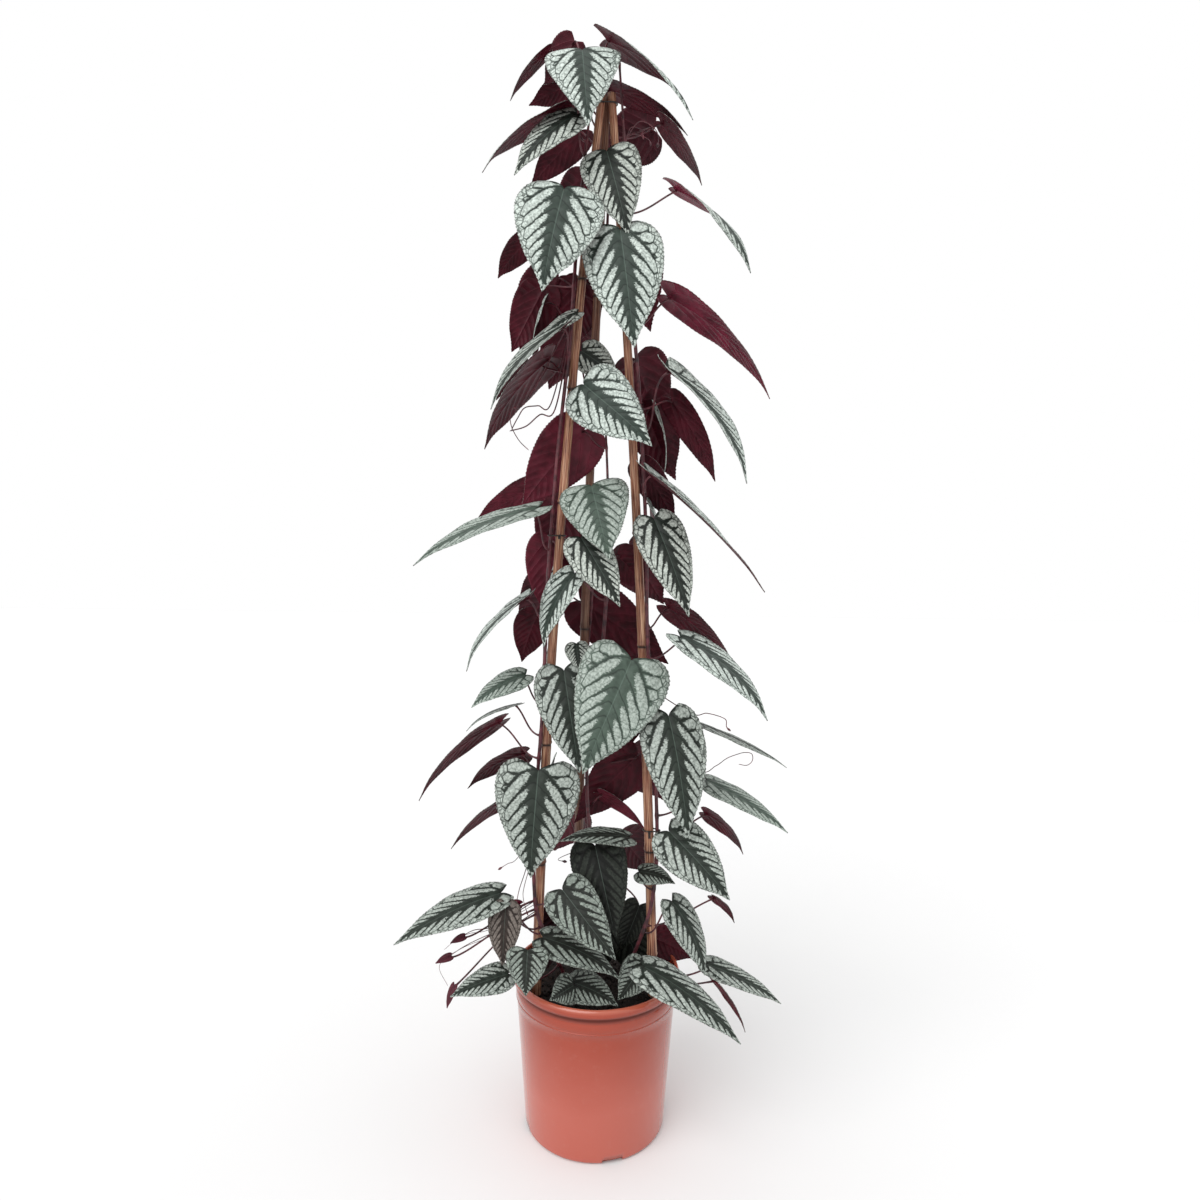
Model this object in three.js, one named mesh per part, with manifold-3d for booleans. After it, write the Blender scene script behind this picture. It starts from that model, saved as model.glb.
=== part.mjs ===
// A potted climbing vine with silver-marked leaves, trained up three bamboo canes in a plastic pot.
// Millimetres, +Z up. The origin is the centre of the pot's flat underside, and -Y is the front.
import * as THREE from "three";
import { mergeVertices } from "three/addons/utils/BufferGeometryUtils.js";
import Module from "manifold-3d";

const wasm = await Module();
wasm.setup();

// Pot: a moulded nursery pot, 210 across its lip and 200 high.
const POT_HEIGHT = 200;
const POT_LIP_R = 105;
const POT_BASE_R = 88;
const POT_WALL = 2;
const POT_FLOOR = 3;
const LIP_HEIGHT = 12;
const LIP_ROLL = 4; // half the width of the rolled lip
const COLLAR_R = 101;
const COLLAR_BOTTOM = 169; // the stacking step below the lip
const COLLAR_STEP = 1.6; // how far the wall steps in under the collar
const COLLAR_TAPER = 0.3;
const NECK_DEPTH = 1.6; // the shallow groove under the lip
const NECK_HALF = 4;
const HEEL_R = 5;
const INSIDE_HEEL_Z = 7;
const POT_SIDES = 44;
const DRAIN_COUNT = 4; // notches through the heel, open below
const DRAIN_WIDTH = 26;
const DRAIN_DEPTH = 12;
const DRAIN_TOP = 6;
const DRAIN_AZIMUTH = 15; // degrees from the front towards +X

// Potting mix: fills the pot to a little below the lip, slightly heaped at the middle.
const MIX_EDGE_Z = 176;
const MIX_TOP_Z = 183;
const MIX_SHOULDER = 0.6; // where the heap rounds over, as a share of its radius, and how far below its top
const MIX_SHOULDER_DROP = 2;

// Canes: three bamboo canes that stand in the mix and meet at the top.
const CANE_FOOT_Z = 70;
const CANE_TOP_Z = 1250;
const CANE_R_FOOT = 6.2;
const CANE_R_TOP = 4.6;
const CANE_NODE_RISE = 0.5;
const CANE_NODE_HALF = 3;
const CANE_SIDES = 9;
const CANES = {
  left: { foot: [-75, -34], top: [-5.5, -3.2], bow: [-14, 0], nodes: [210, 345, 492, 640, 782, 915, 1042, 1160] },
  right: { foot: [74, -34], top: [5.5, -3.2], bow: [8, 0], nodes: [232, 362, 505, 612, 745, 880, 1010, 1135] },
  back: { foot: [-28, 75], top: [0, 6.3], bow: [-5, 0], nodes: [190, 330, 478, 625, 770, 905, 1030, 1150] },
};

// Stems: the vine's shoots, each beside its cane, and one that climbs inside the three canes.
const STEM_R = 2.2;
const STEM_ROOT_Z = 120;
const STEM_OFFSET_FOOT = 9.8;
const STEM_OFFSET_TOP = 11.4;
const STEM_STEP = 36; // height of one stretch of a stem
const STEM_MEETS_CANE_Z = 300;
const STEM_SETTLES_Z = 440;
const STEM_SIDES = 8;
const SWAY_PITCH = 430; // height of one whole sway round the cane
// side is where the shoot lies round its cane in degrees from +X, and swing is how far round it starts
const SHOOTS = {
  left: { cane: "left", root: [-24, -12], side: 205, swing: 150, sway: 25, phase: 0, top: 1272 },
  right: { cane: "right", root: [22, -14], side: -28, swing: -150, sway: 25, phase: 2, top: 1290 },
  back: { cane: "back", root: [6, 26], side: 75, swing: -110, sway: 30, phase: 1, top: 1236 },
};
const MIDDLE_SHOOT = [
  [2, -16, 120], [3, -20, 200], [-6, -24, 330], [-14, -16, 470], [4, -6, 620], [8, -10, 760], [2, -2, 900],
];

// Ties: thin plastic-coated wire. One holds the cane tops, the others hold a shoot to its cane.
const WIRE_R = 0.9;
const WIRE_SIDES = 6;
const WIRE_STEPS = 22; // stretches of the ring
const TIE_TOP_Z = 1238;
const TIES = { left: 741, right: 386, back: 560 };

// Leaves and their stalks.
const BLADE = 0.9; // thickness
const NOTCH = 0.006; // keeps the outline open at the base, beside the stalk
const NIP = 0.35; // how much the outline is drawn in towards the tip, and from where
const NIP_FROM = 0.7;
const TIP_HALF = 0.5;
const LOBE = 0.1; // how far the lobes reach behind the stalk, as a share of the leaf's length
const STALK_R = 1.15;
const STALK_BEND = 0.35; // reach of the stalk's curve at each end, as a share of its span
const STALK_PAST_NOTCH = 3; // where the stalk ends under the blade
const STALK_UNDER = 0.8;
const STALK_SIDES = 5;
const STALK_STEPS = 5;
const GAP = 0.3; // between neighbours that touch
// shoot, height of the stalk's foot, blade base, blade tip, width, shoulder (smaller is wider near the base),
// turn of the upper side away from the front in degrees at the base and at the tip, rise of the arched midrib,
// droop of the margins
const LEAVES = [
  ["right", 1282, [0, 4, 1312], [98, -35, 1209], 52, 0.22, -90, -58, 13, 0.1],
  ["left", 1258, [-28, -28, 1284], [-20, -68, 1187], 84, 0.13, 0, 0, 8, 0.1],
  ["left", 1196, [-36, -6, 1230], [-140, -40, 1148], 66, 0.33, 84, 80, 12, 0.06],
  ["back", 1198, [-30, 44, 1230], [-95, 72, 1173], 44, 0.33, 150, 150, 6, 0.08],
  ["right", 1150, [1, -24, 1177], [26, -50, 1077], 68, 0.25, 4, 0, 8, 0.1],
  ["left", 1104, [-46, -54, 1124], [-68, -80, 1008], 98, 0.3, 0, 0, 10, 0.1],
  ["right", 1052, [17, -45, 1084], [34, -70, 951], 90, 0.3, 0, 0, 8, 0.1],
  ["back", 1222, [0, 24, 1267], [96, 8, 1211], 46, 0.33, -92, -88, 10, 0.06],
  ["back", 1212, [58, 62, 1239], [-16, 72, 1220], 72, 0.33, 180, 170, 6, 0.06],
  ["right", 1112, [80, -15, 1140], [165, -50, 1039], 62, 0.33, -80, -48, 14, 0.04],
  ["right", 984, [75, -12, 1020], [189, -60, 899], 64, 0.33, -103, -95, 14, 0.04],
  ["back", 1024, [-55, 22, 1051], [-104, 44, 964], 76, 0.33, 165, 160, 8, 0.08],
  ["left", 950, [-44, -42, 978], [-124, -84, 880], 46, 0.33, 60, 62, 11, -0.06],
  ["left", 930, [-64, -4, 949], [-140, -25, 842], 74, 0.33, 104, 108, 10, 0.06],
  ["middle", 884, [-22, -46, 913], [55, -76, 843], 74, 0.28, 5, -10, 8, 0.1],
  ["back", 884, [48, 26, 905], [92, 48, 812], 70, 0.33, 178, 175, 8, 0.08],
  ["right", 890, [82, 8, 905], [134, -20, 807], 38, 0.33, -142, -140, 10, 0.08],
  ["right", 862, [72, -50, 929], [161, -90, 803], 72, 0.33, -66, -64, 14, -0.08],
  ["middle", 846, [-22, 8, 868], [-97, 0, 776], 78, 0.33, 160, 155, 6, 0.08],
  ["left", 724, [-76, -40, 772], [-209, -90, 709], 72, 0.33, 70, 70, 8, 0],
  ["middle", 770, [-12, -38, 799], [9, -88, 717], 80, 0.2, 0, 0, 8, 0.1],
  ["middle", 706, [-23, -58, 739], [22, -86, 664], 52, 0.3, -15, -15, 5, 0.1],
  ["middle", 664, [-31, -46, 697], [-66, -62, 614], 56, 0.33, 50, 54, 8, -0.04],
  ["right", 728, [61, -45, 761], [100, -80, 653], 58, 0.3, -12, -10, 8, 0.08],
  ["left", 640, [-84, -35, 668], [-154, -70, 587], 60, 0.33, 80, 78, 10, -0.05],
  ["right", 792, [54, -48, 813], [180, -110, 685], 60, 0.33, -74, -90, 6, -0.06],
  ["back", 634, [-25, 66, 656], [88, 44, 579], 78, 0.33, -172, -172, 10, 0.08],
  ["right", 632, [82, 10, 655], [167, -8, 580], 52, 0.33, -125, -120, 8, 0.06],
  ["right", 596, [95, -45, 624], [190, -95, 540], 76, 0.33, -68, -66, 12, 0.04],
  ["left", 474, [-119, -18, 515], [-211, -60, 431], 48, 0.33, 114, 112, 12, 0.06],
  ["left", 438, [-92, 4, 470], [-160, -20, 434], 54, 0.33, 128, 124, 8, 0.08],
  ["left", 566, [-42, -42, 583], [-22, -66, 467], 76, 0.28, 0, -4, 8, 0.1],
  ["right", 562, [36, -66, 600], [-18, -96, 475], 104, 0.24, 4, 8, 10, 0.1],
  ["left", 408, [-70, -62, 468], [-77, -84, 348], 98, 0.24, 0, 4, 8, 0.1],
  ["right", 506, [80, -68, 536], [102, -102, 405], 74, 0.3, -12, -8, 10, 0.1],
  ["right", 404, [132, -20, 446], [224, -60, 398], 54, 0.33, -76, -74, 4, 0.04],
  ["right", 352, [83, -70, 400], [149, -112, 338], 62, 0.33, -24, -28, 7, 0.1],
  ["middle", 334, [-3, -46, 373], [23, -78, 275], 66, 0.25, 0, 0, 6, 0.1],
  ["left", 296, [-40, -80, 333], [22, -117, 269], 58, 0.25, -16, -20, 7, 0.1],
  ["left", 268, [-115, -60, 319], [-229, -110, 281], 56, 0.33, 66, 64, 7, 0.06],
  ["left", 236, [-62, -70, 270], [28, -96, 236], 48, 0.33, -66, -70, 8, 0.08],
  ["right", 222, [56, -88, 245], [160, -146, 191], 56, 0.3, -70, -66, 9, 0.08],
  ["right", 262, [90, -52, 307], [128, -80, 232], 50, 0.33, -52, -46, 8, 0.08],
  ["back", 1080, [22, 56, 1108], [60, 92, 1004], 84, 0.33, 176, 184, 8, 0.1],
  ["back", 760, [-34, 78, 792], [-76, 122, 690], 88, 0.33, 184, 176, 9, 0.1],
  ["back", 578, [24, 92, 600], [58, 136, 490], 92, 0.33, 172, 180, 9, 0.1],
  ["back", 330, [-40, 110, 372], [-82, 160, 276], 84, 0.33, 188, 180, 9, 0.1],
];

// Plain finishes, one for each kind of piece.
const finish = (color, roughness, metalness = 0) => new THREE.MeshStandardMaterial({ color, roughness, metalness });
const TERRACOTTA_PLASTIC = finish("#c05f4c", 0.35);
const PEAT = finish("#231a15", 1);
const BAMBOO = finish("#b87a58", 0.6);
const RED_STEM = finish("#4a2029", 0.6);
const TIE_WIRE = finish("#2a2420", 0.5);
const SILVER_GREEN_LEAF = finish("#7f9a8c", 0.45);

const degrees = Math.PI / 180;
const lerp = (a, b, t) => a + (b - a) * t;
const smooth = (t) => THREE.MathUtils.smoothstep(t, 0, 1);

// A closed geometry with shared vertices, as a solid for joins and cuts.
function solid(geometry) {
  const bare = geometry.clone();
  bare.deleteAttribute("normal");
  bare.deleteAttribute("uv");
  const merged = mergeVertices(bare, 1e-4);
  return new wasm.Manifold(
    new wasm.Mesh({
      numProp: 3,
      vertProperties: new Float32Array(merged.attributes.position.array),
      triVerts: new Uint32Array(merged.index.array),
    }),
  );
}

// A solid back as geometry for a mesh.
function geometryOf(made) {
  const mesh = made.getMesh();
  const geometry = new THREE.BufferGeometry();
  geometry.setAttribute("position", new THREE.BufferAttribute(mesh.vertProperties, 3));
  geometry.setIndex(new THREE.BufferAttribute(mesh.triVerts, 1));
  geometry.computeVertexNormals();
  return geometry;
}

// A profile of [radius, height] pairs turned about Z.
function turned(profile, sides) {
  const points = profile.map(([r, z]) => new THREE.Vector2(r, z));
  return new THREE.LatheGeometry(points, sides).rotateX(Math.PI / 2);
}

// A round column whose centre follows centre(z), from a profile of [radius, height] pairs.
function column(profile, sides, centre) {
  const geometry = turned(profile, sides);
  const place = geometry.attributes.position;
  for (let i = 0; i < place.count; i++) {
    const [x, y] = centre(place.getZ(i));
    place.setXY(i, place.getX(i) + x, place.getY(i) + y);
  }
  return geometry;
}

// The inside radius of the pot's wall at a height, from its heel to the collar.
function insideR(z) {
  const share = (Math.min(z, COLLAR_BOTTOM) - INSIDE_HEEL_Z) / (COLLAR_BOTTOM - INSIDE_HEEL_Z);
  return lerp(POT_BASE_R, COLLAR_R - COLLAR_TAPER, share) - POT_WALL;
}

// Pot: lip, collar, tapered wall and floor in one moulding, with drain notches through the heel.
function potSolid() {
  const neck = POT_HEIGHT - LIP_HEIGHT - NECK_HALF;
  const outer = [
    [0, 0],
    [POT_BASE_R - HEEL_R, 0],
    [POT_BASE_R - HEEL_R * 0.3, HEEL_R * 0.3],
    [POT_BASE_R, HEEL_R],
    [COLLAR_R - COLLAR_STEP, COLLAR_BOTTOM - 2],
    [COLLAR_R - COLLAR_TAPER, COLLAR_BOTTOM],
    [COLLAR_R, neck - 2 * NECK_HALF],
    [COLLAR_R - NECK_DEPTH, neck],
    [COLLAR_R, POT_HEIGHT - LIP_HEIGHT],
  ];
  const lip = [-60, -30, 0, 30, 60, 90].map((angle) => [
    POT_LIP_R - LIP_ROLL + LIP_ROLL * Math.cos(angle * degrees),
    POT_HEIGHT - LIP_HEIGHT / 2 + (LIP_HEIGHT / 2) * Math.sin(angle * degrees),
  ]);
  const inner = [
    [COLLAR_R - POT_WALL, POT_HEIGHT - 1],
    [COLLAR_R - POT_WALL, POT_HEIGHT - LIP_HEIGHT],
    [insideR(COLLAR_BOTTOM), COLLAR_BOTTOM],
    [insideR(INSIDE_HEEL_Z), INSIDE_HEEL_Z],
    [POT_BASE_R - HEEL_R - 1, POT_FLOOR],
    [0, POT_FLOOR],
  ];
  let pot = solid(turned([...outer, ...lip, ...inner], POT_SIDES));
  for (let i = 0; i < DRAIN_COUNT; i++) {
    const notch = new THREE.BoxGeometry(DRAIN_WIDTH, DRAIN_DEPTH, 2 * DRAIN_TOP);
    notch.translate(0, -POT_BASE_R, 0);
    notch.rotateZ((DRAIN_AZIMUTH + (i * 360) / DRAIN_COUNT) * degrees);
    pot = pot.subtract(solid(notch));
  }
  return pot;
}

// Cane: its centre and radius at a height, and its solid with a raised ring at each node.
function caneCentre(name, z) {
  const { foot, top, bow } = CANES[name];
  const t = (z - CANE_FOOT_Z) / (CANE_TOP_Z - CANE_FOOT_Z);
  return [0, 1].map((i) => lerp(foot[i], top[i], t) + bow[i] * 4 * t * (1 - t));
}
const caneR = (z) => lerp(CANE_R_FOOT, CANE_R_TOP, (z - CANE_FOOT_Z) / (CANE_TOP_Z - CANE_FOOT_Z));

function cane(name, grow = 0) {
  const profile = [[0, CANE_FOOT_Z], [caneR(CANE_FOOT_Z) + grow, CANE_FOOT_Z]];
  for (const z of CANES[name].nodes)
    for (const [dz, rise] of [[-CANE_NODE_HALF, 0], [0, CANE_NODE_RISE], [CANE_NODE_HALF, 0]])
      profile.push([caneR(z) + rise + grow, z + dz]);
  profile.push([caneR(CANE_TOP_Z) + grow, CANE_TOP_Z], [0, CANE_TOP_Z]);
  return column(profile, CANE_SIDES, (z) => caneCentre(name, z));
}

// Shoot: the levels of its centre line, from its root in the mix to its top.
function shootLevels(name) {
  if (name === "middle") {
    const route = new THREE.CatmullRomCurve3(MIDDLE_SHOOT.map((p) => new THREE.Vector3(...p)), false, "catmullrom");
    const count = Math.round((MIDDLE_SHOOT.at(-1)[2] - MIDDLE_SHOOT[0][2]) / STEM_STEP);
    return route.getPoints(count);
  }
  const { cane: beside, root, side, swing, sway, phase, top } = SHOOTS[name];
  const count = Math.round((top - STEM_ROOT_Z) / STEM_STEP);
  return Array.from({ length: count + 1 }, (_, i) => {
    const z = lerp(STEM_ROOT_Z, top, i / count);
    const [x, y] = caneCentre(beside, z);
    const settled = smooth((z - STEM_ROOT_Z) / (STEM_SETTLES_Z - STEM_ROOT_Z));
    const angle = (side + swing * (1 - settled) + sway * Math.sin((2 * Math.PI * z) / SWAY_PITCH + phase)) * degrees;
    const offset = lerp(STEM_OFFSET_FOOT, STEM_OFFSET_TOP, z / CANE_TOP_Z);
    const joined = smooth((z - STEM_ROOT_Z) / (STEM_MEETS_CANE_Z - STEM_ROOT_Z));
    return new THREE.Vector3(
      lerp(root[0], x + offset * Math.cos(angle), joined),
      lerp(root[1], y + offset * Math.sin(angle), joined),
      z,
    );
  });
}

const ROUTES = Object.fromEntries(["left", "right", "back", "middle"].map((name) => [name, shootLevels(name)]));

// The point of a shoot's centre line at a height, and the line's direction there.
function onShoot(name, z) {
  const levels = ROUTES[name];
  const i = Math.min(levels.findLastIndex((p) => p.z <= z), levels.length - 2);
  const [low, high] = [levels[i], levels[i + 1]];
  const point = low.clone().lerp(high, (z - low.z) / (high.z - low.z));
  return { point, along: high.clone().sub(low).normalize() };
}

function shoot(name, grow = 0) {
  const levels = ROUTES[name];
  const profile = levels.map((p) => [STEM_R + grow, p.z]);
  const ends = [[0, levels[0].z], [0, levels.at(-1).z]];
  return column([ends[0], ...profile, ends[1]], STEM_SIDES, (z) => onShoot(name, z).point.toArray());
}

// Tie: a ring of wire drawn tight round a set of circles [x, y, r] at one height.
function tie(circles, z) {
  const ring = new THREE.TorusGeometry(1, 0.5, WIRE_SIDES, WIRE_STEPS);
  const place = ring.attributes.position;
  for (let i = 0; i < place.count; i++) {
    const angle = Math.atan2(place.getY(i), place.getX(i));
    const [nx, ny] = [Math.cos(angle), Math.sin(angle)];
    const reach = ([x, y, r]) => x * nx + y * ny + r;
    const [x, y, r] = circles.reduce((best, c) => (reach(c) > reach(best) + 1e-6 ? c : best));
    const out = r + GAP + WIRE_R * (1 + (Math.hypot(place.getX(i), place.getY(i)) - 1) * 2);
    place.setXYZ(i, x + out * nx, y + out * ny, z + place.getZ(i) * 2 * WIRE_R);
  }
  return ring;
}

// The half width of a blade of width 2 at a share s of its length: (1 - s) (s + NOTCH)^shoulder, brought to 1 where it
// is widest and drawn in near the tip.
function outline(s, shoulder) {
  const widest = shoulder ** shoulder / (1 + shoulder) ** (1 + shoulder);
  const nip = 1 - NIP * smooth((s - NIP_FROM) / (1 - NIP_FROM));
  return ((s + NOTCH) ** shoulder * (1 - s) * nip) / widest;
}

// Leaf: a heart-shaped blade on a grid from base to tip and from margin to margin.
function bladeGrid(base, tip, width, shoulder, turns, arch, droop) {
  const from = new THREE.Vector3(...base);
  const along = new THREE.Vector3(...tip).sub(from);
  const length = along.length();
  along.normalize();
  const front = new THREE.Vector3(0, -1, 0);
  front.addScaledVector(along, -front.dot(along)).normalize();
  const side = along.clone().cross(front);
  const frameAt = (s) => {
    const turn = lerp(turns[0], turns[1], s) * degrees;
    const up = front.clone().multiplyScalar(Math.cos(turn)).addScaledVector(side, Math.sin(turn));
    return { up, across: along.clone().cross(up) };
  };
  // s runs from 0 at the base to 1 at the tip, c from -1 to 1 across the blade
  const point = (s, c, lift) => {
    const { up, across } = frameAt(s);
    const half = (width / 2) * outline(s, shoulder) + TIP_HALF;
    const back = LOBE * (1 - s) ** 4 * Math.abs(c) ** 0.6;
    const rise = arch * 4 * s * (1 - s) - droop * width * Math.abs(c) ** 1.6 * (1 - s * s);
    return from
      .clone()
      .addScaledVector(along, length * (s - back))
      .addScaledVector(across, half * c)
      .addScaledVector(up, rise + lift);
  };
  return { point, along, length, up: frameAt(0).up };
}

function leafSolid([shootName, footZ, base, tip, width, shoulder, turnBase, turnTip, arch, droop]) {
  const { point, along, length, up } = bladeGrid(base, tip, width, shoulder, [turnBase, turnTip], arch, droop);
  const stations = [0, 0.05, 0.15, 0.35, 0.6, 0.82, 1];
  const lines = [-1, -0.5, 0, 0.5, 1];
  const [rows, columns] = [stations.length, lines.length];
  const corners = [];
  for (const lift of [BLADE / 2, -BLADE / 2])
    for (const s of stations)
      for (const c of lines) corners.push(...point(s, c, lift).toArray());
  const under = rows * columns;
  const faces = [];
  const quad = (a, b, c, d) => faces.push(a, b, c, a, c, d);
  for (let i = 0; i + 1 < rows; i++)
    for (let j = 0; j + 1 < columns; j++) {
      const [a, b] = [i * columns + j, (i + 1) * columns + j];
      quad(a, a + 1, b + 1, b);
      quad(under + a, under + b, under + b + 1, under + a + 1);
    }
  const margin = [];
  for (let j = 0; j + 1 < columns; j++) margin.push([j, j + 1]);
  for (let i = 0; i + 1 < rows; i++) margin.push([(i + 1) * columns - 1, (i + 2) * columns - 1]);
  for (let j = columns - 1; j > 0; j--) margin.push([(rows - 1) * columns + j, (rows - 1) * columns + j - 1]);
  for (let i = rows - 1; i > 0; i--) margin.push([i * columns, (i - 1) * columns]);
  for (const [a, b] of margin) quad(a, under + a, under + b, b);
  const blade = new THREE.BufferGeometry();
  blade.setAttribute("position", new THREE.Float32BufferAttribute(corners, 3));
  blade.setIndex(faces);

  const from = new THREE.Vector3(...base);
  const { point: foot, along: climb } = onShoot(shootName, footZ);
  const out = from.clone().sub(foot);
  out.addScaledVector(climb, -out.dot(climb)).normalize();
  const start = foot.addScaledVector(out, STEM_R + GAP);
  const end = point(STALK_PAST_NOTCH / length, 0, -STALK_UNDER);
  const span = start.distanceTo(end);
  const arriving = along.clone().multiplyScalar(0.3).addScaledVector(up, 0.7).normalize();
  const route = new THREE.CubicBezierCurve3(
    start,
    start.clone().addScaledVector(out, STALK_BEND * span),
    end.clone().addScaledVector(arriving, -STALK_BEND * span),
    end,
  );
  const circle = new THREE.EllipseCurve(0, 0, STALK_R, STALK_R).getPoints(STALK_SIDES);
  const section = new THREE.Shape(circle.slice(0, STALK_SIDES));
  const stalk = new THREE.ExtrudeGeometry(section, { steps: STALK_STEPS, extrudePath: route, curveSegments: 1 });
  return solid(blade).add(solid(stalk));
}

// The whole plant in its pot.
const plant = new THREE.Group();
function add(name, geometry, material) {
  const mesh = new THREE.Mesh(geometry, material);
  mesh.name = name;
  plant.add(mesh);
}

add("pot", geometryOf(potSolid()), TERRACOTTA_PLASTIC);

let mix = solid(
  turned(
    [
      [0, POT_FLOOR + GAP],
      [POT_BASE_R - HEEL_R - 2, POT_FLOOR + GAP],
      [insideR(INSIDE_HEEL_Z) - 2 * GAP, INSIDE_HEEL_Z + 1],
      [insideR(MIX_EDGE_Z) - 2 * GAP, MIX_EDGE_Z],
      [insideR(MIX_EDGE_Z) * MIX_SHOULDER, MIX_TOP_Z - MIX_SHOULDER_DROP],
      [0, MIX_TOP_Z],
    ],
    POT_SIDES,
  ),
);
for (const name of Object.keys(CANES)) mix = mix.subtract(solid(cane(name, GAP)));
for (const name of Object.keys(ROUTES)) mix = mix.subtract(solid(shoot(name, GAP)));
add("potting_mix", geometryOf(mix), PEAT);

for (const name of Object.keys(CANES)) add(`cane_${name}`, cane(name), BAMBOO);
for (const name of Object.keys(ROUTES)) add(`shoot_${name}`, shoot(name), RED_STEM);

const caneTops = Object.keys(CANES).map((name) => [...caneCentre(name, TIE_TOP_Z), caneR(TIE_TOP_Z)]);
add("tie_top", tie(caneTops, TIE_TOP_Z), TIE_WIRE);
for (const [name, z] of Object.entries(TIES)) {
  const { x, y } = onShoot(name, z).point;
  add(`tie_${name}`, tie([[...caneCentre(name, z), caneR(z)], [x, y, STEM_R]], z), TIE_WIRE);
}

LEAVES.forEach((row, i) => {
  const name = `leaf_${String(i + 1).padStart(2, "0")}`;
  add(name, geometryOf(leafSolid(row)), SILVER_GREEN_LEAF);
});

export default plant;
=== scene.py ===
# A potted climbing vine with silver-marked leaves, wine red beneath, trained up three bamboo canes.
# Sizes are in millimetres until a mesh is made; the pot stands on the origin and its front is -Y.
import bmesh
import bpy
import math
import numpy as np
from functools import partial
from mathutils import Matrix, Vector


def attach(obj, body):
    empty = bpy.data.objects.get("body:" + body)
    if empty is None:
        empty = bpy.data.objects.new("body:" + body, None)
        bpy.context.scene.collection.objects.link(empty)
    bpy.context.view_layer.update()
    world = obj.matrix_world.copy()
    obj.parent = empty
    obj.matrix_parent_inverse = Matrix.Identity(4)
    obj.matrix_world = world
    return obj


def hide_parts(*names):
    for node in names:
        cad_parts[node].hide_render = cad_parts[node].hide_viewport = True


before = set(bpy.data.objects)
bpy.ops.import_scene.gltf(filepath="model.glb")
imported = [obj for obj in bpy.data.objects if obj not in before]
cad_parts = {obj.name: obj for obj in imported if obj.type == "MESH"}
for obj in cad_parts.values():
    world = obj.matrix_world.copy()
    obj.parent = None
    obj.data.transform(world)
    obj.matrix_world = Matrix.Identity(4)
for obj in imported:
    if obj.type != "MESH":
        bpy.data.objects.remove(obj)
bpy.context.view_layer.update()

# Camera: level with the middle of the plant, a metre in front of it, and pitched five degrees down.
# Its lens and place come from the ellipses of the pot's lip and base; the plant leans a bit to the right.
IMAGE_SIDE = 1200
FOCAL_PX = 846
CENTRE_PX = 601.5
SENSOR_WIDTH = 36
CAMERA_PLACE_M = (0, -1.026, 0.753)
CAMERA_PITCH = 85
CAMERA_LEAN = -0.7
camera = bpy.data.cameras.new("camera")
camera.sensor_width = SENSOR_WIDTH
camera.lens = SENSOR_WIDTH * FOCAL_PX / IMAGE_SIDE
camera.shift_x = -(CENTRE_PX - IMAGE_SIDE / 2) / IMAGE_SIDE
camera.clip_start = 0.05
camera_object = bpy.data.objects.new("camera", camera)
camera_object.location = CAMERA_PLACE_M
camera_object.rotation_euler = (math.radians(CAMERA_PITCH), math.radians(CAMERA_LEAN), 0)
bpy.context.collection.objects.link(camera_object)
bpy.context.scene.camera = camera_object

# Pot: an injection-moulded nursery pot in terracotta-coloured polypropylene, 210 mm across its rolled lip.
# One thin shell with a groove under its lip, a collar with a stacking step under it, a tapered wall and
# four drain notches in its heel.
POT_HEIGHT = 200
POT_LIP_R = 105
POT_BASE_R = 88
POT_WALL = 2
POT_FLOOR = 3
LIP_ROLL = 4
LIP_HEIGHT = 12
LIP_INSIDE_ROLL = 1.5
COLLAR_R = 101
COLLAR_BOTTOM = 169
COLLAR_STEP = 1.6
COLLAR_TAPER = 0.3
COLLAR_ROLL = 1.3
GROOVE_DEPTH = 1.6
GROOVE_HALF = 4
HEEL_R = 5
INSIDE_HEEL_Z = 7
FOOT_RING_R = 58
FOOT_RING_DEPTH = 0.5
POT_SIDES = 216
DRAIN_TOP = 6
DRAIN_ROWS = 10
DRAIN_COUNT = 4
DRAIN_SIDES = 10
DRAIN_AZIMUTH = 15


def linear(colour, alpha=1.0):
    """An sRGB hex colour as linear numbers: ((c + 0.055) / 1.055)^2.4, or c / 12.92 where c is dark."""
    parts = [int(colour[k:k + 2], 16) / 255 for k in (1, 3, 5)]
    return (*[((c + 0.055) / 1.055) ** 2.4 if c > 0.04045 else c / 12.92 for c in parts], alpha)


def grid_faces(rows, columns):
    """Quads of a grid whose vertex (i, j) is number i * columns + j, facing the side of column x row."""
    i, j = np.meshgrid(np.arange(rows - 1), np.arange(columns - 1), indexing="ij")
    corner = i * columns + j
    return np.stack([corner, corner + 1, corner + columns + 1, corner + columns], -1).reshape(-1, 4)


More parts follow.
